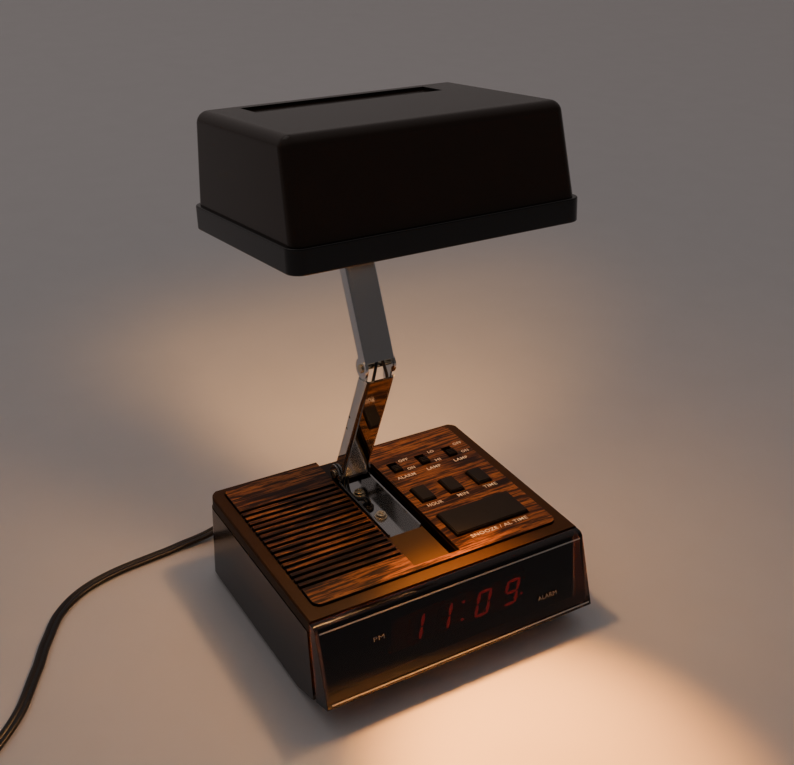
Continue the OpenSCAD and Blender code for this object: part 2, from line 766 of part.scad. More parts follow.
// Buttons and slide knobs
module key_cap(w, d) {
    block(-w / 2, w / 2, -d / 2, d / 2, flange_z, key_top - 0.6);
    translate([0, 0, key_top - 0.6 - eps]) block(-w / 2 + 0.5, w / 2 - 0.5, -d / 2 + 0.5, d / 2 - 0.5, 0, 0.6 + eps);
    block(-w / 2 - flange_out, w / 2 + flange_out, -d / 2 - flange_out, d / 2 + flange_out, flange_z, flange_z + flange_t);
}

key_colour = [0.13, 0.1, 0.09];

module small_button(i) { color(key_colour) translate([key_x + i * key_pitch, key_y, 0]) key_cap(key_w, key_d); }
module hour_button() { small_button(0); }
module minute_button() { small_button(1); }
module time_button() { small_button(2); }
module snooze_button() { color(key_colour) translate([key_x + key_pitch, snooze_y, 0]) key_cap(snooze_w, snooze_d); }

module slider(i) {
    // At the front of its slot, which is ON or HI
    y = slot_y - slot_d / 2 + knob_d / 2 + fit_gap;
    color(key_colour)
        translate([key_x + i * key_pitch, y, 0]) {
            block(-2.7, 2.7, -knob_d / 2, knob_d / 2, knob_foot, key_top - 0.5);
            for (s = [-1, 0, 1]) translate([0, s * knob_d * 0.3, 0]) block(-2.3, 2.3, -0.45, 0.45, key_top - 1, key_top);
        }
}
module alarm_slider() { slider(0); }
module brightness_slider() { slider(1); }
module lamp_slider() { slider(2); }

// Tray that holds the arms, let into the casing
bushing_x = arm_x - 2.2;
bushing_r = 2.4;
bushing_z0 = well_floor - well_t - 1.5;
bushing_z1 = well_floor + 3.4;
tray_wall_z = wood_top + 0.3;
chrome = [0.75, 0.75, 0.77];

module arm_tray() {
    w = tray_w / 2;
    color(chrome)
        difference() {
            union() {
                translate([arm_x, 0, 0]) {
                    block(-w, w, well_front + 0.3, tray_back, well_floor, well_floor + arm_t);
                    for (s = [-1, 1])
                        translate([s * (w - arm_t / 2), 0, 0]) {
                            block(-arm_t / 2, arm_t / 2, well_front + 0.3, tray_back, well_floor, tray_wall_z);
                            block(-arm_t / 2, arm_t / 2, hinge_y - ear_r, tray_back, well_floor, hinge_z);
                            translate([0, hinge_y, hinge_z]) rod_x(ear_r, -arm_t / 2, arm_t / 2);
                        }
                }
            }
            translate([arm_x, hinge_y, hinge_z]) rod_x(pin_r + bore_gap, -tray_w, tray_w);
            for (y = tray_screw_ys) translate([arm_x, y, well_floor - 1]) cylinder(r = screw_r + 0.15, h = 5);
            translate([bushing_x, bushing_y, well_floor - 1]) cylinder(r = bushing_r + bore_gap, h = 5);
        }
}

module tray_screws() {
    color([0.8, 0.8, 0.82])
        for (y = tray_screw_ys)
            translate([arm_x, y, well_floor + arm_t]) rotate([180, 0, 0]) {
                translate([0, 0, -0.6])
                    difference() {
                        cylinder(r = 3.7, h = 0.6);
                        translate([0, 0, -1]) cylinder(r = screw_r, h = 3);
                    }
                translate([0, 0, -0.6]) screw(screw_r, 2.8, 1.6, 7);
            }
}

module lead_bushing() {
    color([0.05, 0.05, 0.05])
        difference() {
            translate([bushing_x, bushing_y, 0]) {
                translate([0, 0, bushing_z0]) cylinder(r = bushing_r, h = bushing_z1 - bushing_z0);
                translate([0, 0, well_floor + arm_t + 0.05]) cylinder(r = bushing_r + 0.9, h = 1.4);
            }
            translate([bushing_x, bushing_y, bushing_z0 - 1]) cylinder(r = 1.5, h = 20);
        }
}

module pin(half, head_l, head_w) {
    rod_x(pin_r, -half - 0.9, half + 0.9);
    rod_x(head_l, -half - 0.9, -half);
    if (head_w > 0) rod_x(head_w, half, half + 0.9);
}

module base_hinge_pin() {
    color(chrome) translate([arm_x, hinge_y, hinge_z]) pin(tray_w / 2 + 0.02, head_r, head_r);
}

// Plan of a bent channel, open at the back
module bent_plan(w, front, back, r) {
    hull() {
        for (s = [-1, 1]) translate([s * (w / 2 - r), front + r]) circle(r = r, $fn = 32);
        translate([-w / 2, back - 0.1]) square([w, 0.1]);
    }
}

module channel(w, front, back, z0, z1) {
    translate([0, 0, z0]) linear_extrude(z1 - z0) difference() {
        bent_plan(w, front, back, bend_r);
        bent_plan(w - 2 * arm_t, front + arm_t, back + 1, bend_r - arm_t);
    }
}

// Both walls of a channel at once
module both_walls(w) { for (s = [-1, 1]) translate([s * (w / 2 - arm_t / 2), 0, 0]) extrude_x(arm_t) children(); }

module disc_at(y, z, r) { translate([y, z]) circle(r = r, $fn = 40); }

module lower_arm() {
    front = foot_inset - lower_d;
    color(chrome)
        at_base_hinge()
            difference() {
                union() {
                    difference() {
                        channel(lower_w, front, foot_inset, lower_web_z0, lower_web_z1);
                        // Room for the discs of the upper arm
                        for (s = [-1, 1])
                            translate([s * (lower_w / 2 - arm_t / 2), lower_skew, lower_len])
                                rod_x(elbow_r + 1.6, -arm_t / 2 - eps, arm_t / 2 + 1);
                    }
                    both_walls(lower_w) {
                        disc_at(0, 0, ear_r - 0.7);
                        polygon([[-ear_r + 0.7, 0], [ear_r - 0.7, 0], [foot_inset, lower_web_z0 + 4], [front + bend_r, lower_web_z0 + 4]]);
                    }
                    both_walls(lower_w - 2 * arm_t + 2 * ear_in)
                        hull() {
                            disc_at(lower_skew, lower_len, ear_r - 1.1);
                            translate([front + bend_r, lower_web_z1 - 7]) square([lower_d - bend_r - 0.4, 1]);
                        }
                }
                rod_x(pin_r + bore_gap, -lower_w, lower_w);
                translate([0, lower_skew, lower_len]) rod_x(pin_r + bore_gap, -lower_w, lower_w);
                for (z = [37.1, 46.2]) translate([0, 1.9, z]) rod_x(0.8, -lower_w, 0);
            }
}

module upper_arm() {
    front = upper_inset - upper_d;
    color(chrome)
        at_elbow()
            difference() {
                union() {
                    channel(upper_w, front, upper_inset, upper_web_z0, upper_web_z1);
                    both_walls(upper_w) {
                        disc_at(0, 0, elbow_r);
                        polygon([[-elbow_r, 0], [0, 0], [upper_inset, upper_web_z0 + 4], [front + bend_r, upper_web_z0 + 2]]);
                        disc_at(-upper_skew, upper_len, ear_r - 0.7);
                        polygon([[-upper_skew - ear_r + 0.7, upper_len], [-upper_skew + ear_r - 0.7, upper_len],
                            [upper_inset, upper_web_z1 - 4], [front + bend_r, upper_web_z1 - 4]]);
                    }
                }
                rod_x(pin_r + bore_gap, -upper_w, upper_w);
                translate([0, -upper_skew, upper_len]) rod_x(pin_r + bore_gap, -upper_w, upper_w);
            }
}

module elbow_pin() {
    color(chrome)
        at_base_hinge() translate([0, lower_skew, lower_len]) {
            pin(upper_w / 2 + 0.02, head_r, 0);
            rod_x(pin_r, 0, upper_w / 2 + 2);
        }
}

module elbow_nut() {
    color([0.7, 0.7, 0.72])
        at_base_hinge() translate([0, lower_skew, lower_len])
            difference() {
                union() {
                    // Spring washer and thin hexagon nut
                    rod_x(2.9, upper_w / 2 + 0.05, upper_w / 2 + 0.55);
                    translate([upper_w / 2 + 0.55, 0, 0]) rotate([0, 90, 0]) cylinder(r = 2.8, h = 1.1, $fn = 6);
                }
                rod_x(pin_r + bore_gap, 0, upper_w);
            }
}

// Shade and what it holds
bracket_w = upper_w + 2 * side_gap + 2 * bracket_t + 0.2;
bracket_z1 = 24;
bracket_screw_z = bracket_z1 - 4.5;
boss_r = 3.2;

module shade_bracket() {
    color(chrome)
        at_shade()
            translate([arm_x, 0, 0])
                difference() {
                    union() {
                        block(-bracket_w / 2, bracket_w / 2, bracket_web_y - bracket_t, bracket_web_y, 2, bracket_z1);
                        for (s = [-1, 1])
                            translate([s * (bracket_w / 2 - bracket_t / 2), 0, 0]) {
                                extrude_x(bracket_t)
                                    polygon([[pivot_y - 1, pivot_z - ear_r + 0.15], [bracket_web_y, 3], [bracket_web_y, bracket_z1 - 9],
                                        [pivot_y - 1, pivot_z + ear_r - 0.15]]);
                                translate([0, pivot_y, pivot_z]) rod_x(ear_r, -bracket_t / 2, bracket_t / 2);
                            }
                    }
                    translate([0, pivot_y, pivot_z]) rod_x(pin_r + bore_gap, -bracket_w, bracket_w);
                    for (s = [-1, 1])
                        translate([s * 4.5, 0, bracket_screw_z]) rod_y(screw_r + bore_gap, bracket_web_y - 5, bracket_web_y + 5);
                }
}

module shade_hinge_pin() {
    color(chrome)
        at_shade() translate([arm_x, pivot_y, pivot_z]) pin(bracket_w / 2 + 0.02, head_r, head_r);
}

module bracket_screws() {
    color([0.7, 0.7, 0.72])
        at_shade()
            for (s = [-1, 1])
                translate([arm_x + s * 4.5, bracket_web_y - bracket_t, bracket_screw_z])
                    rotate([-90, 0, 0]) screw(screw_r, 2.6, 1.5, bracket_t + 2.6);
}

// Rounded tapered shell: the foot is a rounded slab, the top four balls
module shade_body(inset, top) {
    w0 = rim_w - 2 * rim_in - 2 * inset;
    y0 = rim_in + inset;
    y1 = rim_d - rim_in - inset;
    r = shade_r - inset;
    z0 = shade_z - (inset > 0 ? 1 : 0);
    drop = inset > 0 ? 1 : 0;
    hull() {
        translate([0, (y0 + y1) / 2, z0]) linear_extrude(0.5) round_rect(w0, y1 - y0, r, $fn = 32);
        for (sx = [-1, 1], y = [y0 + shade_slope + r - drop * 0.2, y1 - 0.8 - r])
            translate([sx * (w0 / 2 - shade_taper - r), y, top - r]) sphere(r, $fn = 28);
    }
}

recess_w = 104.9;
recess_d = 19;
recess_x = -2.1;
recess_back = 11.7;
recess_t = 1.5;
post_y = 44;
post_x = 40;
reflector_top = 42.5;

module shade() {
    color([0.16, 0.09, 0.06])
        at_shade()
            difference() {
                union() {
                    difference() {
                        shade_body(0, shade_top);
                        shade_body(shade_t, shade_top - shade_t);
                    }
                    // Floor of the label recess, bosses for the bracket and the reflector
                    block(recess_x - recess_w / 2 - 1.5, recess_x + recess_w / 2 + 1.5, recess_y0 - 1.5, recess_y1 + 1.5,
                        shade_top - recess_t - 1.6, shade_top - shade_t / 2);
                    for (s = [-1, 1])
                        translate([arm_x + s * 4.5, 0, bracket_screw_z])
                            rod_y(boss_r, bracket_web_y, rim_d - rim_in - shade_t / 2);
                    for (s = [-1, 1])
                        translate([s * post_x, post_y, reflector_top + 0.1])
                            cylinder(r = 3, h = shade_top - shade_t / 2 - reflector_top);
                }
                block(recess_x - recess_w / 2, recess_x + recess_w / 2, recess_y0, recess_y1, shade_top - recess_t, shade_top + 5);
                for (s = [-1, 1])
                    translate([arm_x + s * 4.5, 0, bracket_screw_z])
                        rod_y(screw_r + bore_gap, bracket_web_y - 1, bracket_web_y + 2.8);
                for (s = [-1, 1])
                    translate([s * post_x, post_y, reflector_top]) cylinder(r = 1.2 + bore_gap, h = 6);
            }
}
recess_y1 = rim_d - rim_in - recess_back;
recess_y0 = recess_y1 - recess_d;

module shade_rim() {
    color([0.07, 0.06, 0.06])
        at_shade()
            translate([0, rim_d / 2, 0])
                difference() {
                    linear_extrude(rim_h - 0.02) round_rect(rim_w, rim_d, shade_r + 1);
                    translate([0, 0, -1]) linear_extrude(rim_h - 1.8)
                        round_rect(rim_w - 2 * rim_t, rim_d - 2 * rim_t, shade_r + 1 - rim_t);
                    translate([0, 0, -1]) linear_extrude(rim_h + 5)
                        round_rect(rim_w - 2 * rim_in - 2 * shade_t - 1, rim_d - 2 * rim_in - 2 * shade_t - 1, shade_r - 1.5);
                }
}

reflector_z0 = 15.5;
reflector_w = rim_w - 2 * rim_in - 15.5;
reflector_y0 = 10;
reflector_y1 = 84;

module reflector_shell(inset) {
    y = (reflector_y0 + reflector_y1) / 2;
    hull() {
        translate([0, y, reflector_z0 - inset]) linear_extrude(0.5)
            round_rect(reflector_w - 2 * inset, reflector_y1 - reflector_y0 - 2 * inset, 6, $fn = 32);
        translate([0, y, reflector_top - 0.5 - inset]) linear_extrude(0.5)
            round_rect(reflector_w - 16 - 2 * inset, reflector_y1 - reflector_y0 - 16 - 2 * inset, 10, $fn = 32);
    }
}

socket_y = 47;
socket_z = 29;
socket_end = reflector_w / 2 - 3.6;
bulb_x = socket_end - 51.4;

module reflector() {
    color([0.85, 0.85, 0.84])
        at_shade()
            difference() {
                reflector_shell(0);
                reflector_shell(0.8);
                for (s = [-1, 1]) translate([s * post_x, post_y, reflector_top - 3]) cylinder(r = 1.4, h = 5);
                translate([0, socket_y, socket_z]) rod_x(3.2, bulb_x + 28, bulb_x + 68);
            }
}

module reflector_screws() {
    color([0.7, 0.7, 0.72])
        at_shade()
            for (s = [-1, 1])
                translate([s * post_x, post_y, reflector_top - 0.85]) screw(1.2, 2.2, 1.2, 5.5);
}

module lamp_socket() {
    color([0.8, 0.78, 0.72])
        at_shade()
            translate([0, socket_y, socket_z])
                difference() {
                    union() {
                        rod_x(9, bulb_x + 20, bulb_x + 44);
                        rod_x(3, bulb_x + 44 - eps, socket_end);
                        rod_x(10.5, bulb_x + 40, bulb_x + 43);
                    }
                    rod_x(7.6 + bore_gap, bulb_x + 18, bulb_x + 36);
                }
}

module bulb_cap() {
    color([0.75, 0.7, 0.5])
        at_shade() translate([0, socket_y, socket_z]) rod_x(7.5, bulb_x + 17.5, bulb_x + 35.5);
}

module bulb_glass() {
    // Pear bulb on its side
    color([0.95, 0.92, 0.85, 0.7])
        at_shade() translate([0, socket_y, socket_z]) rotate([0, 90, 0]) rotate_extrude()
            polygon(concat([[0, bulb_x + 17.4], [6.8, bulb_x + 17.4]], arc(0, bulb_x, 11.4, 50, -90, 16)));
}

// Twin lamp leads, each stretch in its own body; they meet near the hinge axes
lead_r = 0.9;
module twin(points) {
    for (s = [-1, 1])
        swept([for (p = points) p + [s * 1.1, 0, 0]], 2 * lead_r, 2 * lead_r, 8, [1, 0, 0]);
}
lead_colour = [0.05, 0.05, 0.05];

module base_leads() {
    turn_r = 1.5;
    color(lead_colour)
        twin(concat(
            [[bushing_x, bushing_y, bushing_z1 + 0.05]],
            [for (a = [0:18:72])
                [bushing_x, bushing_y + turn_r * (1 - cos(a)), bushing_z1 + 0.5 + turn_r * sin(a)]],
            [[bushing_x - 0.1, bushing_y + 2.3, bushing_z1 + 2.05], [bushing_x - 0.7, bushing_y + 3.8, bushing_z1 + 1.65],
            [bushing_x - 1.9, bushing_y + 5.8, bushing_z1 + 0.4], [bushing_x - 3.1, bushing_y + 8.2, well_floor + 2.7],
            [bushing_x - 3.6, bushing_y + 11, well_floor + 2.2], [bushing_x - 3.6, hinge_y - 9, well_floor + 2.1],
            [bushing_x - 2.4, hinge_y - 4.4, well_floor + 3], [bushing_x - 1.1, hinge_y - 1.5, hinge_z - 7.2],
            [bushing_x - 0.3, hinge_y + 0.1, hinge_z - 5.3], [bushing_x, hinge_y + 0.5, hinge_z - 4.2]]));
}

module lower_arm_leads() {
    color(lead_colour)
        at_base_hinge()
            twin([[-2.2, 2.4, 2], [-2.2, 0.4, 6], [-2.2, -1.9, 12], [-2.2, -2.4, lower_len / 2],
                [-2.2, -2.1, lower_len - 14], [-2.2, -1.2, lower_len - 4]]);
}

module upper_arm_leads() {
    color(lead_colour)
        at_elbow()
            twin([[-2.2, -3.4, 2.6], [-2.2, -4, 9], [-2.2, -4.1, upper_len / 2], [-2.2, -4.1, upper_len - 13],
                [-2.2, -3.6, upper_len - 4]]);
}

module shade_leads() {
    z = reflector_top + 3;
    color(lead_colour)
        at_shade() {
            twin([[arm_x - 2.2, pivot_y - 0.5, pivot_z + 4], [arm_x - 2.2, pivot_y + 1, pivot_z + 9],
                [arm_x - 2.2, pivot_y, 27], [arm_x - 2.2, pivot_y - 3, z - 6], [arm_x - 2.2, pivot_y - 8, z]]);
            for (s = [-1, 1])
                swept([[arm_x - 2.2 + s * 1.1, pivot_y - 8 - lead_r, z], [arm_x + 6 + s * 1.1, pivot_y - 12, z],
                    [socket_end - 39, pivot_y - 14 + s * 1.1, z], [socket_end - 9, pivot_y - 15 + s * 1.1, z],
                    [socket_end + 0.6 - s * 1.1, pivot_y - 20 + s * 1.1, z - 1],
                    [socket_end + 3 - s * 1.1, socket_y + 8, z - 8],
                    [socket_end + 2.6 - s * 1.1, socket_y + 1.5 * s, socket_z + 1]], 2 * lead_r, 2 * lead_r);
        }
}

// Mains cord and what is on it
grip_neck_w = 9;
grip_neck_t = 6;
grip_in_y = tub_back - 8;

module grip_slab(y, w, t) { translate([cord_x, y, cord_exit_z]) cube([w, 0.5, t], center = true); }

module cord_grip() {
    color([0.08, 0.06, 0.05])
        difference() {
            union() {
                translate([cord_x, (grip_in_y + tub_back) / 2 + 0.6, cord_exit_z])
                    cube([grip_neck_w, tub_back - grip_in_y, grip_neck_t], center = true);
                for (y = [tub_back - shell_t - 1.6, tub_back + 0.9])
                    translate([cord_x, y, cord_exit_z]) cube([grip_neck_w + 3, 1.5, grip_neck_t + 3], center = true);
                hull() {
                    grip_slab(tub_back + 1.4, grip_neck_w, grip_neck_t);
                    grip_slab(tub_back + grip_out - 0.5, cord_w + 0.9, cord_t + 0.9);
                }
            }
        }
}

module power_cord() {
    color([0.13, 0.08, 0.06]) {
        swept(concat([[cord_x, tub_back + grip_out - 0.2, cord_exit_z]], cord_route, [coil_point(0)]), cord_w, cord_t);
        swept(concat([coil_point(2 * coil_turns)], cord_tail), cord_w, cord_t);
    }
}

// Coil: in along the first layer, up a layer in half a turn, and out along the second
coil_steps = 24;
function coil_inward(d) = abs(d) < 0.4 ? coil_dip * (1 + cos(180 * d / 0.4)) / 2 : 0;
function coil_radius(s) = coil_in_r + coil_pitch * abs(s - coil_turns) - coil_inward(s - coil_turns);
// The turns lie over the tie on the far side
function coil_height(s, a) =
    coil_z + coil_rise * min(1, max(0, (s - coil_turns) * 2 + 0.5)) + (tie_t + 0.25) * pow(max(0, -cos(a)), 8);
function coil_point(s) =
    let (a = coil_turn0 - 360 * s, r = coil_radius(s))
    [coil_centre[0] + r * cos(a), coil_centre[1] + r * sin(a), coil_height(s, a)];
coil_points = [for (i = [0:2 * coil_turns * coil_steps]) coil_point(i / coil_steps)];

module cord_coil() {
    color([0.13, 0.08, 0.06]) swept(coil_points, cord_w, cord_t, 6);
}

module cord_tie() {
    // Band round the bundle of turns
    mid = (coil_in_r + coil_out_r) / 2;
    half = (coil_out_r - coil_in_r + cord_w) / 2 + 0.4;
    top = coil_z + coil_rise + coil_t / 2 + tie_t + 0.6;
    color([0.06, 0.06, 0.06])
        translate([coil_centre[0] - mid, coil_centre[1], 0])
            difference() {
                block(-half - tie_t, half + tie_t, -2.5, 2.5, 0, top + tie_t);
                block(-half, half, -3, 3, tie_t, top);
            }
}

plug_at = cord_tail[len(cord_tail) - 1];
plug_turn = 217;

module plug_body() {
    color([0.12, 0.08, 0.06])
        translate(plug_at) rotate(plug_turn) {
            hull() {
                translate([0, 0, 0]) rotate([0, 90, 0]) cylinder(r = 3, h = 1, $fn = 24);
                translate([9, 0, 0.4]) cube([2, 9, 8], center = true);
            }
            hull() {
                translate([9, 0, 0.4]) cube([2, 9, 8], center = true);
                translate([13, 0, 1.4]) cube([3, 22, 13.6], center = true);
                translate([27, 0, 1.4]) cube([3, 20, 13.6], center = true);
            }
        }
}

module plug_prongs() {
    color([0.8, 0.7, 0.4])
        translate(plug_at) rotate(plug_turn)
            for (s = [-1, 1])
                difference() {
                    translate([28.5, s * 6.35 - 0.75, -2]) cube([17, 1.5, 6.4]);
                    translate([41, s * 6.35 - 2, 1.2]) rotate([-90, 0, 0]) cylinder(r = 1.5, h = 4);
                }
}

// Least gap of the coil to itself, measured between its section's outlines
coil_gap = min([for (i = [0:len(coil_points) - 1 - coil_steps / 2], j = [i + coil_steps / 2:len(coil_points) - 1])
    let (d = coil_points[j] - coil_points[i], flat = norm([d[0], d[1]]))
    max(flat - cord_w, abs(d[2]) - coil_t)]);
echo(str("least gap of the coil to itself: ", coil_gap));

lower_case();
upper_case();
woodgrain_panel();
front_lens();
display_frame();
led_display();
display_digits();
main_board();
board_parts();
board_screws();
switch_board();
key_switches();
slide_switches();
switch_board_screws();
inner_leads();
transformer_core();
transformer_coil();
transformer_clamp();
speaker_basket();
speaker_magnet();
speaker_cone();
rubber_feet();
case_screws();
hour_button();
minute_button();
time_button();
snooze_button();
alarm_slider();
brightness_slider();
lamp_slider();
arm_tray();
tray_screws();
lead_bushing();
base_hinge_pin();
lower_arm();
elbow_pin();
elbow_nut();
upper_arm();
shade_bracket();
shade_hinge_pin();
bracket_screws();
shade();
shade_rim();
reflector();
reflector_screws();
lamp_socket();
bulb_cap();
bulb_glass();
base_leads();
lower_arm_leads();
upper_arm_leads();
shade_leads();
cord_grip();
power_cord();
cord_coil();
cord_tie();
plug_body();
plug_prongs();
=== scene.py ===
"""Looks of the alarm clock lamp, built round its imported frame.

Lengths are written in millimetres and turned to metres where a mesh is made. Every piece is modelled
in the frame's own axes: +Z up, the display towards -Y, table level at zero.
"""

from __future__ import annotations

import json
import logging
import math
from dataclasses import dataclass, field
from enum import Enum
from typing import Callable, Iterable, Optional, Sequence, Union

import bmesh
import bpy
from mathutils import Matrix, Vector

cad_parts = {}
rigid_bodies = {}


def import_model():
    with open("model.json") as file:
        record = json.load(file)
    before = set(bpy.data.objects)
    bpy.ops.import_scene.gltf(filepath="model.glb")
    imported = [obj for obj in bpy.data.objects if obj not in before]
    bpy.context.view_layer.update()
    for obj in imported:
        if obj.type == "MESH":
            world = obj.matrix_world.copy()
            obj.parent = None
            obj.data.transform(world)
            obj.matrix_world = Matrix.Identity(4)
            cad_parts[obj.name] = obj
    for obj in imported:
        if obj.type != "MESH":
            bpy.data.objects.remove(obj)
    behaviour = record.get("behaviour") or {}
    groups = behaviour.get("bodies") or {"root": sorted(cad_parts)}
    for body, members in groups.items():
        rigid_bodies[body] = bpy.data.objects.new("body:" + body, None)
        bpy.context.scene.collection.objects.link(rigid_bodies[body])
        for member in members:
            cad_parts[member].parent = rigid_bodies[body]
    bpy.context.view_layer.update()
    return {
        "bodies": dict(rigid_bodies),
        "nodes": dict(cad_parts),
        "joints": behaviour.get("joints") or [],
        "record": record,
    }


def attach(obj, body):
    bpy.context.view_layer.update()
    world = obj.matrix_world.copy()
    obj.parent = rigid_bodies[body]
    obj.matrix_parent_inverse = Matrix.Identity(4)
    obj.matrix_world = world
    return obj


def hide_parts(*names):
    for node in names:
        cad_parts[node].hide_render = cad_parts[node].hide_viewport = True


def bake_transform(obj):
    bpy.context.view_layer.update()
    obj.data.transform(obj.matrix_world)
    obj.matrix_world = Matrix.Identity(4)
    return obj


LOG = logging.getLogger("alarm_clock_lamp")
MM = 0.001
SMOOTH_TURN_DEG = 32.0
MERGE_MM = 0.003
FLAT_DEG = 0.6
LETTER_SPACING = 1.08
LETTER_MERGE_MM = 0.001
# Distance of a hexagon's corner, as a share of half its width across the flats
HEXAGON_CORNER = 1.1547
FAR = 1000.0
Point = tuple[float, float, float]
Colour = tuple[float, float, float]
Stops = tuple[tuple[float, Colour], ...]
Box = tuple[tuple[float, float], ...]
Socket = bpy.types.NodeSocket
Node = bpy.types.Node
Tree = bpy.types.NodeTree
Object = bpy.types.Object


class Body(str, Enum):
    """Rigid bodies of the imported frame."""

    BASE = "base"
    LOWER_ARM = "lower_arm_body"
    UPPER_ARM = "upper_arm_body"
    SHADE = "shade_body"
    HOUR = "hour_button_body"
    MINUTE = "minute_button_body"
    TIME = "time_button_body"
    SNOOZE = "snooze_button_body"
    ALARM = "alarm_slider_body"
    BRIGHTNESS = "brightness_slider_body"
    LAMP = "lamp_slider_body"


# --- node trees


class Wiring:
    """A node tree while it is being wired."""

    def __init__(self, tree: Tree) -> None:
        """Keeps the tree."""
        self.tree = tree

    def add(self, kind: str, settings: Optional[dict] = None, **values: object) -> Node:
        """Adds a node.

        Args:
            kind: the node's type name after ShaderNode.
            settings: property values of the node.
            values: what its sockets get.

        Returns:
            The new node.
        """
        node = self.tree.nodes.new("ShaderNode" + kind)
        for key, value in (settings or {}).items():
            setattr(node, key, value)
        return self.fill(node, **values)

    def fill(self, node: Node, **values: object) -> Node:
        """Fills a node's input sockets.

        Args:
            node: the node.
            values: socket name with underscores for spaces, or "i" and its place, to a value or a socket.

        Returns:
            The node.
        """
        for key, value in values.items():
            socket = node.inputs[int(key[1:]) if key[1:].isdigit() else key.replace("_", " ")]
            if isinstance(value, Socket):
                self.tree.links.new(value, socket)
            else:
                socket.default_value = (*value, 1.0) if socket.type == "RGBA" else value
        return node

    def maths(self, operation: str, a: object, b: object, clamp: bool = False) -> Socket:
        """Works out one value from two. Returns it."""
        return self.add("Math", {"operation": operation, "use_clamp": clamp}, i0=a, i1=b).outputs[0]

    def noise(self, vector: Socket, scale: object, detail: float, rough: float = 0.5) -> Node:
        """Adds a noise pattern."""
        return self.add("TexNoise", Vector=vector, Scale=scale, Detail=detail, Roughness=rough)

    def stretched(self, vector: Socket, factors: object) -> Socket:
        """Scales coordinates along each axis. Returns them."""
        return self.add("VectorMath", {"operation": "MULTIPLY"}, i0=vector, i1=factors).outputs[0]

    def mixed(self, share: Socket, first: object, second: object) -> Socket:
        """Mixes two colours. Returns the colour."""
        return self.add("Mix", {"data_type": "RGBA"}, i0=share, i6=first, i7=second).outputs[2]

    def rise(self, value: Socket, low: float, high: float, top: float) -> Socket:
        """Rises from zero to a top between two values. Returns it."""
        return self.add("MapRange", Value=value, From_Min=low, From_Max=high, To_Min=0.0, To_Max=top).outputs[0]

    def ramp(self, value: Socket, stops: Stops) -> Socket:
        """Turns a value to a colour.

        Args:
            value: the socket with the value.
            stops: place from 0 to 1 and colour of each stop.

        Returns:
            The colour.
        """
        node = self.add("ValToRGB", Fac=value)
        elements = node.color_ramp.elements
        while len(elements) > 1:
            elements.remove(elements[-1])
        for i, (place, colour) in enumerate(stops):
            element = elements[0] if i == 0 else elements.new(place)
            element.position = place
            element.color = (*colour, 1.0)
        return node.outputs[0]


class Group(Wiring):
    """A shader group while it is being wired. Its first input is always the coordinates."""

    def __init__(self, name: str, inputs: dict[str, object], outputs: Sequence[str]) -> None:
        """Opens the group and its two end nodes.

        Args:
            name: the group's name.
            inputs: default value of each input after the coordinates, None for a colour.
            outputs: name of each output; one named Color is a colour.
        """
        super().__init__(bpy.data.node_groups.new(name, "ShaderNodeTree"))
        sockets = self.tree.interface
        sockets.new_socket(name="Vector", in_out="INPUT", socket_type="NodeSocketVector")
        for label, value in inputs.items():
            kind = "Color" if value is None else "Vector" if isinstance(value, tuple) else "Float"
            socket = sockets.new_socket(name=label, in_out="INPUT", socket_type="NodeSocket" + kind)
            if value is not None:
                socket.default_value = value
        for label in outputs:
            kind = "Color" if label == "Color" else "Float"
            sockets.new_socket(name=label, in_out="OUTPUT", socket_type="NodeSocket" + kind)
        self.start = self.tree.nodes.new("NodeGroupInput")
        self.end = self.tree.nodes.new("NodeGroupOutput")

    def given(self, label: str = "Vector") -> Socket:
        """Returns the group's named input."""
        return self.start.outputs[label]

    def wander(self, pattern: Socket, middle: float) -> Socket:
        """Lets the group's roughness wander with a pattern. Returns the roughness."""
        spread = self.maths("MULTIPLY", self.maths("SUBTRACT", pattern, middle), self.given("Spread"))
        return self.maths("ADD", spread, self.given("Roughness"), clamp=True)

    def give(self, **sockets: Socket) -> Tree:
        """Links sockets to the group's named outputs. Returns the finished group."""
        self.fill(self.end, **sockets)
        return self.tree


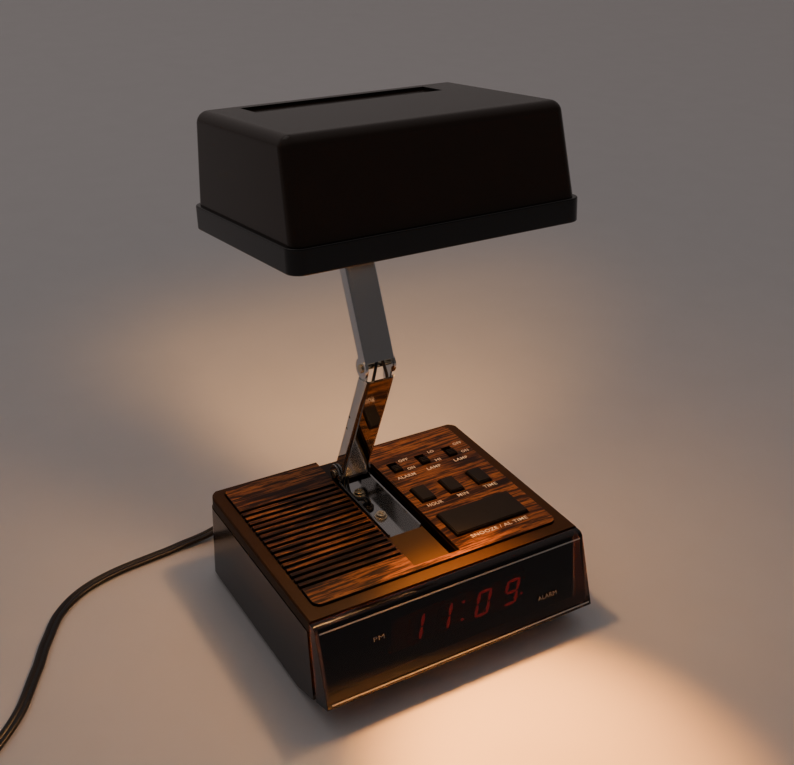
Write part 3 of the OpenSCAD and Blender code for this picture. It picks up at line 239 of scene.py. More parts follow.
class ShaderGroups:
    """The effects that several materials share, each built once."""

    WOOD_BANDS: Stops = (
        (0.33, (0.0170, 0.0066, 0.0036)),
        (0.42, (0.0740, 0.0260, 0.0088)),
        (0.49, (0.2400, 0.0900, 0.0250)),
        (0.56, (0.3400, 0.1350, 0.0360)),
        (0.62, (0.1600, 0.0560, 0.0170)),
        (0.72, (0.4000, 0.1650, 0.0470)),
    )
    WOOD_LINE: Colour = (0.0085, 0.0033, 0.0019)
    WOOD_PORE: Colour = (0.0040, 0.0018, 0.0012)
    DUST: Colour = (0.35, 0.31, 0.27)

    def __init__(self) -> None:
        """Builds every group."""
        self.grain = self._grain()
        self.handling = self._handling()
        self.streaks = self._streaks()
        self.wood = self._wood()
        self.dust = self._dust()

    def _grain(self) -> Tree:
        """Fine moulded grain.

        Returns:
            The group.
        """
        g = Group("moulded_grain", {"Scale": 2500.0, "Coarse Share": 0.3}, ["Height"])
        fine = g.noise(g.given(), g.given("Scale"), 3.0)
        coarse = g.noise(g.given(), g.maths("MULTIPLY", g.given("Scale"), 0.12), 1.0)
        both = g.add("Mix", i0=g.given("Coarse Share"), i2=fine.outputs[0], i3=coarse.outputs[0])
        return g.give(Height=both.outputs[0])

    def _handling(self) -> Tree:
        """Roughness that wanders where a surface has been wiped and touched.

        Returns:
            The group.
        """
        g = Group("handling_marks", {"Roughness": 0.3, "Spread": 0.08, "Scale": 45.0}, ["Roughness"])
        blot = g.noise(g.given(), g.given("Scale"), 5.0, 0.65)
        return g.give(Roughness=g.wander(blot.outputs[0], 0.5))

    def _streaks(self) -> Tree:
        """Fine polishing lines of plated metal.

        Returns:
            The group.
        """
        values = {"Stretch": (1.0, 1.0, 0.03), "Roughness": 0.1, "Spread": 0.05}
        g = Group("polishing_lines", values, ["Roughness", "Height"])
        lines = g.noise(g.stretched(g.given(), g.given("Stretch")), 2600.0, 4.0)
        blot = g.noise(g.given(), 60.0, 3.0)
        both = g.maths("ADD", lines.outputs[0], blot.outputs[0])
        return g.give(Roughness=g.wander(both, 1.0), Height=lines.outputs[0])

    def _wood(self) -> Tree:
        """Printed rosewood figure that runs along X.

        Returns:
            The group.
        """
        g = Group("rosewood_print", {}, ["Color", "Height"])
        drift = g.noise(g.stretched(g.given(), (8.0, 26.0, 0.0)), 1.0, 2.0).outputs[1]

        def drifting(amount: float, along: float, across: float) -> Socket:
            """Scales the coordinates and bends them by the drift.

            Args:
                amount: how far they bend.
                along: scale along the grain.
                across: scale across the grain.

            Returns:
                The coordinates.
            """
            base = g.stretched(g.given(), (along, across, 0.0))
            shift = g.add("VectorMath", {"operation": "MULTIPLY_ADD"}, i0=drift, i1=(0.0, amount, 0.0), i2=base)
            return shift.outputs[0]

        bands = g.noise(drifting(2.2, 7.0, 110.0), 1.0, 5.0, 0.6).outputs[0]
        fine = g.noise(drifting(6.0, 38.0, 560.0), 1.0, 3.0, 0.62)
        pores = g.noise(g.stretched(g.given(), (130.0, 1500.0, 0.0)), 1.0, 2.0, 0.7)
        lines = g.rise(fine.outputs[0], 0.46, 0.56, 0.95)
        holes = g.rise(pores.outputs[0], 0.50, 0.66, 0.85)
        lined = g.mixed(lines, g.ramp(bands, self.WOOD_BANDS), self.WOOD_LINE)
        return g.give(Color=g.mixed(holes, lined, self.WOOD_PORE), Height=g.maths("SUBTRACT", bands, holes))

    def _dust(self) -> Tree:
        """Sparse pale specks and a faint bloom.

        Returns:
            The group.
        """
        g = Group("light_dust", {"Color": None, "Amount": 0.05}, ["Color"])
        specks = g.rise(g.noise(g.given(), 900.0, 2.0).outputs[0], 0.64, 0.72, 1.0)
        bloom = g.noise(g.given(), 30.0, 3.0).outputs[0]
        both = g.add("Math", {"operation": "MULTIPLY_ADD"}, i0=bloom, i1=0.5, i2=specks).outputs[0]
        share = g.maths("MULTIPLY", both, g.given("Amount"), clamp=True)
        return g.give(Color=g.mixed(share, g.given("Color"), self.DUST))


class Surface(Wiring):
    """One material's tree while it is being wired."""

    def __init__(self, name: str, groups: ShaderGroups) -> None:
        """Opens a new material with a Principled shader and object coordinates.

        Args:
            name: the material's name.
            groups: the shared effects.
        """
        self.material = bpy.data.materials.new(name)
        self.material.use_nodes = True
        super().__init__(self.material.node_tree)
        self.groups = groups
        self.tree.nodes.clear()
        self.shader = self.add("BsdfPrincipled")
        self.add("OutputMaterial", Surface=self.shader.outputs[0])
        self.coords = self.add("TexCoord").outputs["Object"]

    def group(self, tree: Tree, **values: object) -> Node:
        """Places a shader group on this surface's coordinates."""
        return self.add("Group", {"node_tree": tree}, Vector=self.coords, **values)

    def give(self, **values: object) -> None:
        """Gives the shader's own sockets their values or links."""
        self.fill(self.shader, **values)

    def toned(self, colour: Colour, low: float, high: float, scale: float, detail: float) -> Socket:
        """Lets a colour wander softly between two shares of itself.

        Args:
            colour: the colour.
            low: the darker share.
            high: the lighter share.
            scale: how fine the change is.
            detail: octaves of the noise.

        Returns:
            The colour.
        """
        dark, light = (tuple(c * share for c in colour) for share in (low, high))
        return self.mixed(self.noise(self.coords, scale, detail).outputs[0], dark, light)

    def dusty(self, colour: Socket, amount: float) -> None:
        """Feeds a colour with some dust on it."""
        self.give(Base_Color=self.group(self.groups.dust, Color=colour, Amount=amount).outputs[0])

    def handled(self, rough: float, spread: float) -> None:
        """Feeds a roughness that wanders by a spread."""
        self.give(Roughness=self.group(self.groups.handling, Roughness=rough, Spread=spread).outputs[0])

    def bump(self, height: Socket, strength: float, depth: float) -> None:
        """Sends a height to the shader's normal, with the depth in millimetres that one stands for."""
        self.give(Normal=self.add("Bump", Strength=strength, Distance=depth * MM, Height=height).outputs[0])


# --- finishes


@dataclass(frozen=True)
class Moulded:
    """Injection-moulded plastic, rubber or varnish. The grain's depth is in millimetres."""

    colour: Colour
    rough: float = 0.35
    spread: float = 0.08
    grain_scale: float = 2500.0
    grain: float = 0.01
    coat: float = 0.0
    dust: float = 0.04
    variation: float = 0.12
    gloss: float = 0.5

    def wire(self, s: Surface) -> None:
        """Wires the finish into a new material.

        Args:
            s: the material's tree.
        """
        s.dusty(s.toned(self.colour, 1.0 - self.variation, 1.0 + self.variation, 28.0, 4.0), self.dust)
        s.handled(self.rough, self.spread)
        s.bump(s.group(s.groups.grain, Scale=self.grain_scale).outputs[0], 0.5, self.grain)
        s.give(Coat_Weight=self.coat, Coat_Roughness=0.04, Specular_IOR_Level=self.gloss)


@dataclass(frozen=True)
class Plated:
    """Bright or drawn metal. The relief of its lines is in millimetres."""

    colour: Colour
    rough: float = 0.08
    spread: float = 0.06
    stretch: Point = (1.0, 1.0, 0.03)
    relief: float = 0.002

    def wire(self, s: Surface) -> None:
        """Wires the finish into a new material.

        Args:
            s: the material's tree.
        """
        lines = s.group(s.groups.streaks, Stretch=self.stretch, Roughness=self.rough, Spread=self.spread)
        s.bump(lines.outputs[1], 0.35, self.relief)
        s.give(Base_Color=s.toned(self.colour, 0.93, 1.0, 70.0, 4.0), Roughness=lines.outputs[0], Metallic=1.0)


@dataclass(frozen=True)
class Woodgrain:
    """Printed woodgrain film with a satin lacquer."""

    rough: float = 0.34
    spread: float = 0.12
    dust: float = 0.003
    gloss: float = 0.24
    relief: float = 0.05

    def wire(self, s: Surface) -> None:
        """Wires the finish into a new material.

        Args:
            s: the material's tree.
        """
        figure = s.group(s.groups.wood)
        s.dusty(figure.outputs[0], self.dust)
        s.handled(self.rough, self.spread)
        s.bump(figure.outputs[1], 0.35, self.relief)
        s.give(Specular_IOR_Level=self.gloss)


@dataclass(frozen=True)
class Clear:
    """Clear or smoked plastic and glass."""

    colour: Colour
    rough: float = 0.02
    ior: float = 1.49

    def wire(self, s: Surface) -> None:
        """Wires the finish into a new material.

        Args:
            s: the material's tree.
        """
        s.handled(self.rough, 0.02)
        s.give(Base_Color=s.toned(self.colour, 0.92, 1.0, 20.0, 2.0), Transmission_Weight=1.0, IOR=self.ior)


@dataclass(frozen=True)
class Lit:
    """A surface that gives light."""

    colour: Colour
    glow: Colour
    strength: float

    def wire(self, s: Surface) -> None:
        """Wires the finish into a new material.

        Args:
            s: the material's tree.
        """
        s.handled(0.35, 0.1)
        glow = s.toned(self.glow, 0.88, 1.0, 160.0, 3.0)
        s.give(Base_Color=self.colour, Emission_Color=glow, Emission_Strength=self.strength)


EVEN: Point = (1.0, 1.0, 1.0)
ALONG_X: Point = (0.05, 1.0, 1.0)


class Finishes:
    """Every finish of the clock lamp by its own name, made when first asked for."""

    TABLE: dict[str, Union[Moulded, Plated, Woodgrain, Clear, Lit]] = {
        "brown_casing": Moulded((0.038, 0.0178, 0.0062), 0.52, grain=0.012, dust=0.005, gloss=0.17),
        "patch_brown": Moulded((0.068, 0.038, 0.015), 0.6, grain=0.012, dust=0.005, gloss=0.15),
        # painted shade: darker brown for the casing's recess round the arms
        "painted_shade_brown": Moulded((0.006, 0.0028, 0.0016), 0.5, dust=0.008, gloss=0.35),
        # painted shade: near-black for the wood panel's edges, bevels and slot sides
        "painted_shade_edge": Moulded((0.0035, 0.0015, 0.001), 0.6, dust=0.0, gloss=0.25),
        "dark_tub": Moulded((0.017, 0.0092, 0.0055), 0.2, 0.05, grain=0.003, coat=0.15, dust=0.01),
        "shade_brown": Moulded(
            (0.033, 0.0185, 0.0115), 0.17, 0.05, grain=0.004, coat=0.05, dust=0.008, gloss=0.38
        ),
        "rim_black": Moulded((0.004, 0.0036, 0.0038), 0.2, 0.06, grain=0.004, coat=0.2, dust=0.012),
        "key_black": Moulded((0.0085, 0.0066, 0.005), 0.48, 0.08, 3200.0, 0.02, dust=0.006, gloss=0.28),
        "matt_black": Moulded((0.012, 0.010, 0.010), 0.55, dust=0.03),
        # painted shade: near-black for the casing inside the louvre slots and the walls of the shade's top recess
        "painted_shade_black": Moulded((0.010, 0.007, 0.006), 0.7, dust=0.02),
        "frame_brown": Moulded((0.015, 0.0048, 0.0032), 0.8, grain=0.0005, dust=0.0, gloss=0.08),
        "display_window": Moulded((0.014, 0.0032, 0.003), 0.3, dust=0.0, gloss=0.3),
        "wire_black": Moulded((0.010, 0.009, 0.009), 0.38, dust=0.02),
        "cord_brown": Moulded((0.010, 0.0062, 0.0048), 0.3, 0.12, grain=0.02, dust=0.012),
        "foot_rubber": Moulded((0.014, 0.014, 0.014), 0.75, grain=0.03, dust=0.1),
        "board_green": Moulded((0.05, 0.12, 0.04), 0.35, coat=0.3, variation=0.3),
        "component_black": Moulded((0.02, 0.02, 0.022), 0.5),
        "socket_cream": Moulded((0.58, 0.52, 0.42), 0.45),
        "cone_paper": Moulded((0.035, 0.032, 0.030), 0.85, 0.08, 1500.0, 0.08),
        "print_grey": Moulded((0.26, 0.26, 0.27), 0.5, grain=0.002, dust=0.0),
        "print_cream": Moulded((0.95, 0.89, 0.76), 0.5, grain=0.002, dust=0.0),
        "figure_dark": Moulded((0.020, 0.0045, 0.004), 0.3, dust=0.0, gloss=0.3),
        "pale_floor": Moulded((0.80, 0.79, 0.80), 0.48, 0.05, 400.0, 0.02, dust=0.0, variation=0.03),
        "winding_copper": Plated((0.62, 0.30, 0.12), 0.32, 0.06, (1.0, 0.04, 1.0), 0.05),
        "line_silver": Plated((0.72, 0.71, 0.68), 0.3, 0.05, ALONG_X),
        "chrome": Plated((0.74, 0.73, 0.70), 0.06, 0.04, relief=0.0003),
        "tray_plate": Plated((0.47, 0.455, 0.445), 0.13, 0.04, (1.0, 0.03, 1.0), 0.00015),
        "dark_chrome": Plated((0.74, 0.74, 0.75), 0.11, 0.04, relief=0.0003),
        "yellow_zinc": Plated((0.74, 0.63, 0.45), 0.17, 0.10, EVEN, 0.0006),
        "zinc": Plated((0.58, 0.58, 0.57), 0.28, 0.15, EVEN),
        "core_iron": Plated((0.20, 0.20, 0.21), 0.5, 0.2, ALONG_X, 0.05),
        "prong_brass": Plated((0.78, 0.62, 0.34), 0.22, 0.15),
        "reflector_bright": Plated((0.86, 0.86, 0.84), 0.35, 0.1, EVEN, 0.02),
        "woodgrain": Woodgrain(),
        "smoked": Clear((0.25, 0.130, 0.098)),
        "figure_red": Lit((0.10, 0.010, 0.010), (1.0, 0.045, 0.060), 0.38),
        "bulb_lit": Lit((0.9, 0.85, 0.75), (1.0, 0.72, 0.42), 8.0),
    }

    def __init__(self) -> None:
        """Builds the shader groups. Materials follow on demand."""
        self.groups = ShaderGroups()
        self.made: dict[str, bpy.types.Material] = {}

    def get(self, name: str) -> bpy.types.Material:
        """Looks up a finish, and makes it when it is first asked for.

        Args:
            name: the finish's name.

        Returns:
            The material.
        """
        if name not in self.made:
            surface = Surface(name, self.groups)
            self.TABLE[name].wire(surface)
            self.made[name] = surface.material
        return self.made[name]


# --- mesh hand tools


def select_only(obj: Object) -> None:
    """Makes one object the only selected one, and the active one.

    Args:
        obj: the object.
    """
    if bpy.context.mode != "OBJECT":
        bpy.ops.object.mode_set(mode="OBJECT")
    bpy.ops.object.select_all(action="DESELECT")
    obj.hide_set(False)
    obj.select_set(True)
    bpy.context.view_layer.objects.active = obj


def place_new(name: str, data: bpy.types.ID) -> Object:
    """Puts new data into the scene as an object.

    Args:
        name: the object's name.
        data: its mesh, curve, light or camera.

    Returns:
        The object.
    """
    obj = bpy.data.objects.new(name, data)
    bpy.context.scene.collection.objects.link(obj)
    return obj


def apply_place(obj: Object) -> None:
    """Moves an object's place, turn and scale into its mesh."""
    select_only(obj)
    bpy.ops.object.transform_apply(location=True, rotation=True, scale=True)


def shift_mesh(obj: Object, x: float = 0.0, y: float = 0.0, z: float = 0.0) -> None:
    """Moves a mesh by a step in millimetres."""
    obj.data.transform(Matrix.Translation((x * MM, y * MM, z * MM)))


def finish_modifier(obj: Object, kind: str, **settings: object) -> None:
    """Adds a modifier and applies it at once.

    Args:
        obj: the piece.
        kind: the modifier's type.
        settings: its properties.
    """
    select_only(obj)
    modifier = obj.modifiers.new(kind.lower(), kind)
    for key, value in settings.items():
        setattr(modifier, key, value)
    bpy.ops.object.modifier_apply(modifier=modifier.name)


def smooth_shade(obj: Object, turn_deg: float = SMOOTH_TURN_DEG) -> None:
    """Shades a piece smooth where its faces turn by less than an angle."""
    select_only(obj)
    bpy.ops.object.shade_smooth_by_angle(angle=math.radians(turn_deg))


def round_edges(obj: Object, width: float, facets: int, turn_deg: float = SMOOTH_TURN_DEG) -> None:
    """Rounds the edges that turn by more than an angle, then shades the piece.

    Args:
        obj: the piece.
        width: width of the rounding in millimetres, 0 for none.
        facets: number of facets across the rounding.
        turn_deg: least turn of an edge that is rounded.
    """
    if width > 0:
        finish_modifier(
            obj, "BEVEL", width=width * MM, segments=facets, limit_method="ANGLE",
            angle_limit=math.radians(turn_deg), miter_outer="MITER_ARC", use_clamp_overlap=True,
        )
    smooth_shade(obj)
    finish_modifier(obj, "WEIGHTED_NORMAL", keep_sharp=True)


def join_pieces(parts: Sequence[Object], name: str) -> Object:
    """Joins several objects into the first.

    Args:
        parts: the objects.
        name: name of the joined piece.

    Returns:
        The joined piece.
    """
    select_only(parts[0])
    for part in parts[1:]:
        part.select_set(True)
    if len(parts) > 1:
        bpy.ops.object.join()
    parts[0].name = parts[0].data.name = name
    return parts[0]


def edit_all(obj: Object, mode: str = "VERT") -> None:
    """Enters edit mode with everything selected.

    Args:
        obj: the piece.
        mode: VERT or FACE.
    """
    select_only(obj)
    bpy.ops.object.mode_set(mode="EDIT")
    bpy.ops.mesh.select_mode(type=mode)
    bpy.ops.mesh.select_all(action="SELECT")


def edit_points(obj: Object, test: Callable[[Vector], bool]) -> None:
    """Enters edit mode with some of the points selected.

    Args:
        obj: the piece.
        test: tells from a point's place in metres whether it counts.
    """
    edit_all(obj)
    bpy.ops.mesh.select_all(action="DESELECT")
    mesh = bmesh.from_edit_mesh(obj.data)
    for vert in mesh.verts:
        vert.select_set(test(vert.co))
    mesh.select_flush_mode()
    bmesh.update_edit_mesh(obj.data)


def leave_edit(outwards: bool = False) -> None:
    """Goes back to object mode.

    Args:
        outwards: whether all faces are first made to point outwards.
    """
    if outwards:
        bpy.ops.mesh.select_all(action="SELECT")
        bpy.ops.mesh.normals_make_consistent(inside=False)
    bpy.ops.object.mode_set(mode="OBJECT")


def inside(place: Vector, box: Box) -> bool:
    """Tells whether a place lies within the three ranges of a box."""
    return all(low < value < high for value, (low, high) in zip(place, box))


@dataclass(frozen=True)
class Stance:
    """Where a sub-assembly stands: a turn about X and then a shift, in millimetres."""

    pitch_deg: float = 0.0
    shift: Point = (0.0, 0.0, 0.0)

    def matrix(self) -> Matrix:
        """The stance as a matrix in metres."""
        return Matrix.Translation(Vector(self.shift) * MM) @ Matrix.Rotation(math.radians(self.pitch_deg), 4, "X")

    def point(self, local: Point) -> Vector:
        """A point of the sub-assembly in the frame's axes, in metres."""
        return self.matrix() @ (Vector(local) * MM)


@dataclass
class Maker:
    """Shares the frame, the finishes and the list of made pieces among the sub-assemblies."""

    frame: dict
    finishes: Finishes
    made: list[str] = field(default_factory=list)

    def dress(
        self, obj: Object, body: Body, finish: str, slot: Optional[str] = None,
        replaces: Sequence[str] = (),
    ) -> Object:
        """Gives a new piece its finish and body, and hides the CAD nodes that it stands for.

        Args:
            obj: the piece, with its place in its mesh.
            body: the body that it rides on.
            finish: name of its finish.
            slot: not used.
            replaces: CAD nodes that it stands for.

        Returns:
            The piece.
        """
        self.coat(obj, finish)
        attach(obj, body.value)
        if replaces:
            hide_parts(*replaces)
        self.made.append(obj.name)
        return obj

    def coat(self, obj: Object, finish: str) -> None:
        """Gives a piece one finish all over."""
        obj.data.materials.clear()
        obj.data.materials.append(self.finishes.get(finish))

    def refine(
        self, node: str, body: Body, finish: str, slot: str, width: float, facets: int = 2,
        turn_deg: float = SMOOTH_TURN_DEG,
    ) -> Object:
        """Makes a softened copy of a CAD node that stands for it.

        Args:
            node: the CAD node.
            body: its body.
            finish: name of its finish.
            slot: the record's material slot.
            width: width of its rounded edges in millimetres.
            facets: facets across a rounded edge.
            turn_deg: least turn of an edge that is rounded.

        Returns:
            The piece.
        """
        obj = place_new(node + "_made", self.frame["nodes"][node].data.copy())
        edit_all(obj)
        bpy.ops.mesh.remove_doubles(threshold=MERGE_MM * MM)
        bpy.ops.mesh.dissolve_limited(angle_limit=math.radians(FLAT_DEG))
        leave_edit()
        round_edges(obj, width, facets, turn_deg)
        return self.dress(obj, body, finish, slot, (node,))

    def refine_all(self, body: Body, *rows: tuple) -> list[Object]:
        """Makes softened copies of several nodes of one body.

        Args:
            body: their body.
            rows: node, finish, slot, and the width and facets of the rounded edges of each.

        Returns:
            The pieces, in the same order.
        """
        return [self.refine(row[0], body, *row[1:]) for row in rows]

    def paint_faces(self, obj: Object, finish: str, test: Callable[[Vector, Vector], bool]) -> None:
        """Gives the faces that pass a test their own finish.

        Args:
            obj: the piece.
            finish: name of the finish.
            test: tells from a face's centre, in millimetres, and its normal whether it counts.
        """
        obj.data.materials.append(self.finishes.get(finish))
        index = len(obj.data.materials) - 1
        for face in obj.data.polygons:
            if test(face.center / MM, face.normal):
                face.material_index = index

    def repaint(self, node: str, finish: str) -> None:
        """Gives a CAD node that stays its finish.

        Args:
            node: the CAD node.
            finish: name of the finish.
        """
        obj = self.frame["nodes"][node]
        material = self.finishes.get(finish)
        if obj.material_slots:
            for place in obj.material_slots:
                place.material = material
        else:
            obj.data.materials.append(material)


# --- clock base


class Lettering(Enum):
    """Size classes of the printed words, as capital height in millimetres."""

    SMALL = 2.3
    MEDIUM = 2.6


@dataclass(frozen=True)
class Word:
    """One printed word on the panel or the lens."""

    text: str
    x: float
    y: float
    width: float
    size: Lettering = Lettering.MEDIUM

    def build(self, bold: float) -> Object:
        """Sets the word flat in the XY plane.

        Args:
            bold: how much fatter than the plain letters it is.

        Returns:
            The word.
        """
        bpy.ops.object.select_all(action="DESELECT")
        bpy.ops.object.text_add(location=(0, 0, 0))
        letters = bpy.context.active_object.data
        letters.body = self.text
        letters.align_x = letters.align_y = "CENTER"
        letters.resolution_u = 3
        letters.offset, letters.space_character = bold, LETTER_SPACING
        bpy.ops.object.convert(target="MESH")
        obj = bpy.context.active_object
        corners = [v.co for v in obj.data.vertices]
        low = Vector((min(c.x for c in corners), min(c.y for c in corners), 0))
        high = Vector((max(c.x for c in corners), max(c.y for c in corners), 0))
        obj.data.transform(Matrix.Translation(-(low + high) / 2))
        fit = (self.width * MM / (high.x - low.x), self.size.value * MM / (high.y - low.y), 1.0, 1.0)
        obj.data.transform(Matrix.Diagonal(fit))
        shift_mesh(obj, self.x, self.y)
        return obj


def flat_words(name: str, words: Iterable[Word], depth: float, bold: float) -> Object:
    """Sets words as one thin mesh in the XY plane.

    Args:
        name: name of the piece.
        words: the words with their places in millimetres.
        depth: thickness of the print in millimetres.
        bold: how much fatter than the plain letters they are.

    Returns:
        The piece, printed side up, on z = 0.
    """
    joined = join_pieces([word.build(bold) for word in words], name)
    edit_all(joined)
    bpy.ops.mesh.remove_doubles(threshold=LETTER_MERGE_MM * MM)
    leave_edit(outwards=True)
    finish_modifier(joined, "SOLIDIFY", thickness=depth * MM, offset=1.0)
    return joined


@dataclass
class ClockBase:
    """Casings, panel, lens, display and feet."""

    maker: Maker
    panel_top: float = 56.0
    # The first two boxes hold casing faces painted as shade: inside the louvre slots and in the recess round the
    # arms
    slots_box: Box = ((-74.5, -14.7), (-37.5, 38.0), (-FAR, 54.2))
    recess_box: Box = ((-14.8, 12.7), (-47.3, FAR), (44.0, 54.4))
    patch_box: Box = ((-14.7, 7.1), (-47.7, -19.8), (54.5, FAR))
    lens_line_top: tuple[float, float] = (-65.6, 51.0)
    lens_line_foot: tuple[float, float] = (-79.7, 17.0)
    lens_slope_deg: float = 22.5
    line_half_width: float = 80.3
    line_height: float = 0.75
    line_thickness: float = 0.12
    line_proud: float = 0.03
    patch_least_up: float = 0.9
    wood_top_least_up: float = 0.96
    display_plane_y: float = -65.0
    figure_height: float = 17.5
    figure_centre_z: float = 31.2
    figure_slant_deg: float = 5.0
    figure_xs: tuple[float, ...] = (-24.5, -7.5, 17.5, 36.0)
    figures: str = "1109"
    # Half a figure's width over its height, and how much shorter the upright and the level bars are, in bars
    figure_share: float = 0.26
    upright_cut: float = 0.55
    level_cut: float = 1.35
    row_gap: float = 0.1
    bar: float = 1.9
    bar_relief: float = 0.22
    # Centre and radius of the colon's two dots and of the alarm dot
    dots: tuple[Point, ...] = ((4.5, 37.1, 0.95), (4.5, 25.2, 0.95), (43.0, 27.6, 0.75))
    lens_words_at: Point = (-49.4, -0.03, 39.6)
    lens_print: tuple[float, float] = (0.04, 0.0)
    panel_print: tuple[float, float] = (0.05, 0.013)

    SEGMENTS = {"0": "abcdef", "1": "bc", "9": "abcdfg"}
    PANEL_WORDS = (
        Word("OFF", 31.0, 39.2, 6.4, Lettering.SMALL),
        Word("ON", 31.0, 30.0, 4.9, Lettering.SMALL),
        Word("ALARM", 24.0, 24.0, 12.2),
        Word("LO", 50.6, 39.5, 4.0, Lettering.SMALL),
        Word("HI", 49.8, 30.2, 3.6, Lettering.SMALL),
        Word("LAMP", 43.3, 24.5, 9.4),
        Word("OFF", 70.0, 40.0, 6.0, Lettering.SMALL),
        Word("ON", 69.5, 30.9, 4.9, Lettering.SMALL),
        Word("LAMP", 62.5, 24.8, 9.4),
        Word("HOUR", 24.0, -6.6, 10.0),
        Word("MIN", 42.9, -6.3, 7.0),
        Word("TIME", 61.9, -6.2, 9.0),
        Word("SNOOZE / AL TIME", 43.2, -41.2, 37.5),
    )
    LENS_WORDS = (
        Word("PM", 0.0, 0.0, 6.2, Lettering.SMALL),
        Word("ALARM", 102.9, -11.9, 12.4, Lettering.SMALL),
    )

    def build(self) -> None:
        """Makes and dresses every piece of the base's outside."""
        m = self.maker
        case, _, wood, *_ = m.refine_all(
            Body.BASE,
            ("upper_case", "brown_casing", "brown_casing", 0.5, 3),
            ("lower_case", "dark_tub", "dark_casing", 0.6, 3),
            ("woodgrain_panel", "woodgrain", "woodgrain", 0.22),
            ("front_lens", "smoked", "smoked_lens", 0.45, 3),
            ("display_frame", "frame_brown", "black_plastic", 0.3),
            ("led_display", "display_window", "black_plastic", 0.4),
            ("rubber_feet", "foot_rubber", "black_rubber", 0.5),
        )
        # Painted shade: the casing inside the louvre slots is painted black
        m.paint_faces(case, "painted_shade_black", lambda c, n: inside(c, self.slots_box))
        # Painted shade: the recess round the arms is painted a darker brown
        m.paint_faces(case, "painted_shade_brown", lambda c, n: inside(c, self.recess_box))
        m.paint_faces(case, "patch_brown", lambda c, n: inside(c, self.patch_box) and n.z > self.patch_least_up)
        # Painted shade: the panel's edges, bevels and slot sides are painted near-black
        m.paint_faces(wood, "painted_shade_edge", lambda c, n: n.z < self.wood_top_least_up)
        m.repaint("case_screws", "zinc")
        self._figures()
        self._lens_lines()
        self._words()

    def _segment(self, length: float) -> Object:
        """Makes one pointed display bar, lying along X in the XZ plane.

        Args:
            length: its length in millimetres.

        Returns:
            The bar.
        """
        tip = self.bar / 2 * HEXAGON_CORNER
        bpy.ops.mesh.primitive_circle_add(
            vertices=6, radius=tip * MM, fill_type="NGON", rotation=(math.pi / 2, 0, 0)
        )
        bar = bpy.context.active_object
        apply_place(bar)
        for sign in (-1, 1):
            edit_points(bar, lambda c, sign=sign: c.x * sign > 1e-7)
            bpy.ops.transform.translate(value=(sign * (length / 2 - tip) * MM, 0, 0))
            leave_edit()
        edit_all(bar, "FACE")
        bpy.ops.mesh.extrude_region_move(TRANSFORM_OT_translate={"value": (0, -self.bar_relief * MM, 0)})
        leave_edit(outwards=True)
        return bar

    def _figures(self) -> None:
        """Lit and dark bars of the four figures, the colon and the alarm dot."""
        half, width, bar = self.figure_height / 2, self.figure_height * self.figure_share, self.bar
        side, high = width - bar / 2, half / 2 - self.row_gap
        places = {
            "a": (0, half - bar / 2, 0),
            "g": (0, 0, 0),
            "d": (0, bar / 2 - half, 0),
            "b": (side, high, 90),
            "c": (side, -high, 90),
            "f": (-side, high, 90),
            "e": (-side, -high, 90),
        }
        upright, level = half - bar * self.upright_cut, 2 * width - bar * self.level_cut
        lean = Matrix.Identity(4)
        lean[0][2] = math.tan(math.radians(self.figure_slant_deg))
        lit, dark = [], []
        for figure, x in zip(self.figures, self.figure_xs):
            for key, (dx, dz, turn) in places.items():
                part = self._segment(upright if turn else level)
                part.data.transform(Matrix.Rotation(math.radians(turn), 4, "Y"))
                shift_mesh(part, dx, 0, dz)
                part.data.transform(lean)
                shift_mesh(part, x, self.display_plane_y, self.figure_centre_z)
                (lit if key in self.SEGMENTS[figure] else dark).append(part)
        lit += [self._dot(*dot) for dot in self.dots]
        self.maker.dress(
            join_pieces(lit, "display_figures_lit"), Body.BASE, "figure_red", "red_digits", ("display_digits",)
        )
        self.maker.dress(join_pieces(dark, "display_figures_dark"), Body.BASE, "figure_dark", "black_plastic")

    def _dot(self, x: float, z: float, radius: float) -> Object:
        """Makes one round dot on the display's face.

        Args:
            x: place of its centre in millimetres.
            z: height of its centre.
            radius: its radius.

        Returns:
            The dot.
        """
        bpy.ops.mesh.primitive_cylinder_add(
            vertices=24, radius=radius * MM, depth=self.bar_relief * MM, rotation=(math.pi / 2, 0, 0)
        )
        dot = bpy.context.active_object
        apply_place(dot)
        shift_mesh(dot, x, self.display_plane_y - self.bar_relief / 2, z)
        return dot

    def _lens_lines(self) -> None:
        """Two fine silver lines across the lens."""
        lines = []
        for y, z in (self.lens_line_top, self.lens_line_foot):
            bpy.ops.mesh.primitive_cube_add(size=1.0, location=(0, -self.line_proud * MM, 0))
            line = bpy.context.active_object
            line.scale = Vector((2 * self.line_half_width, self.line_thickness, self.line_height)) * MM
            apply_place(line)
            line.data.transform(Matrix.Rotation(math.radians(-self.lens_slope_deg), 4, "X"))
            shift_mesh(line, 0, y, z)
            lines.append(line)
        piece = join_pieces(lines, "lens_lines")
        round_edges(piece, self.line_proud, 1)
        self.maker.dress(piece, Body.BASE, "line_silver")

    def _words(self) -> None:
        """Plain control words on the panel and two on the lens."""
        piece = flat_words("panel_words", self.PANEL_WORDS, *self.panel_print)
        shift_mesh(piece, z=self.panel_top)
        self.maker.dress(piece, Body.BASE, "print_cream")
        piece = flat_words("lens_words", self.LENS_WORDS, *self.lens_print)
        piece.data.transform(Matrix.Rotation(math.radians(90 - self.lens_slope_deg), 4, "X"))
        x, proud, z = self.lens_words_at
        (top_y, top_z), (foot_y, foot_z) = self.lens_line_top, self.lens_line_foot
        slope = (top_y - foot_y) / (top_z - foot_z)
        shift_mesh(piece, x, top_y - (top_z - z) * slope + proud, z)
        self.maker.dress(piece, Body.BASE, "print_grey")


# --- controls


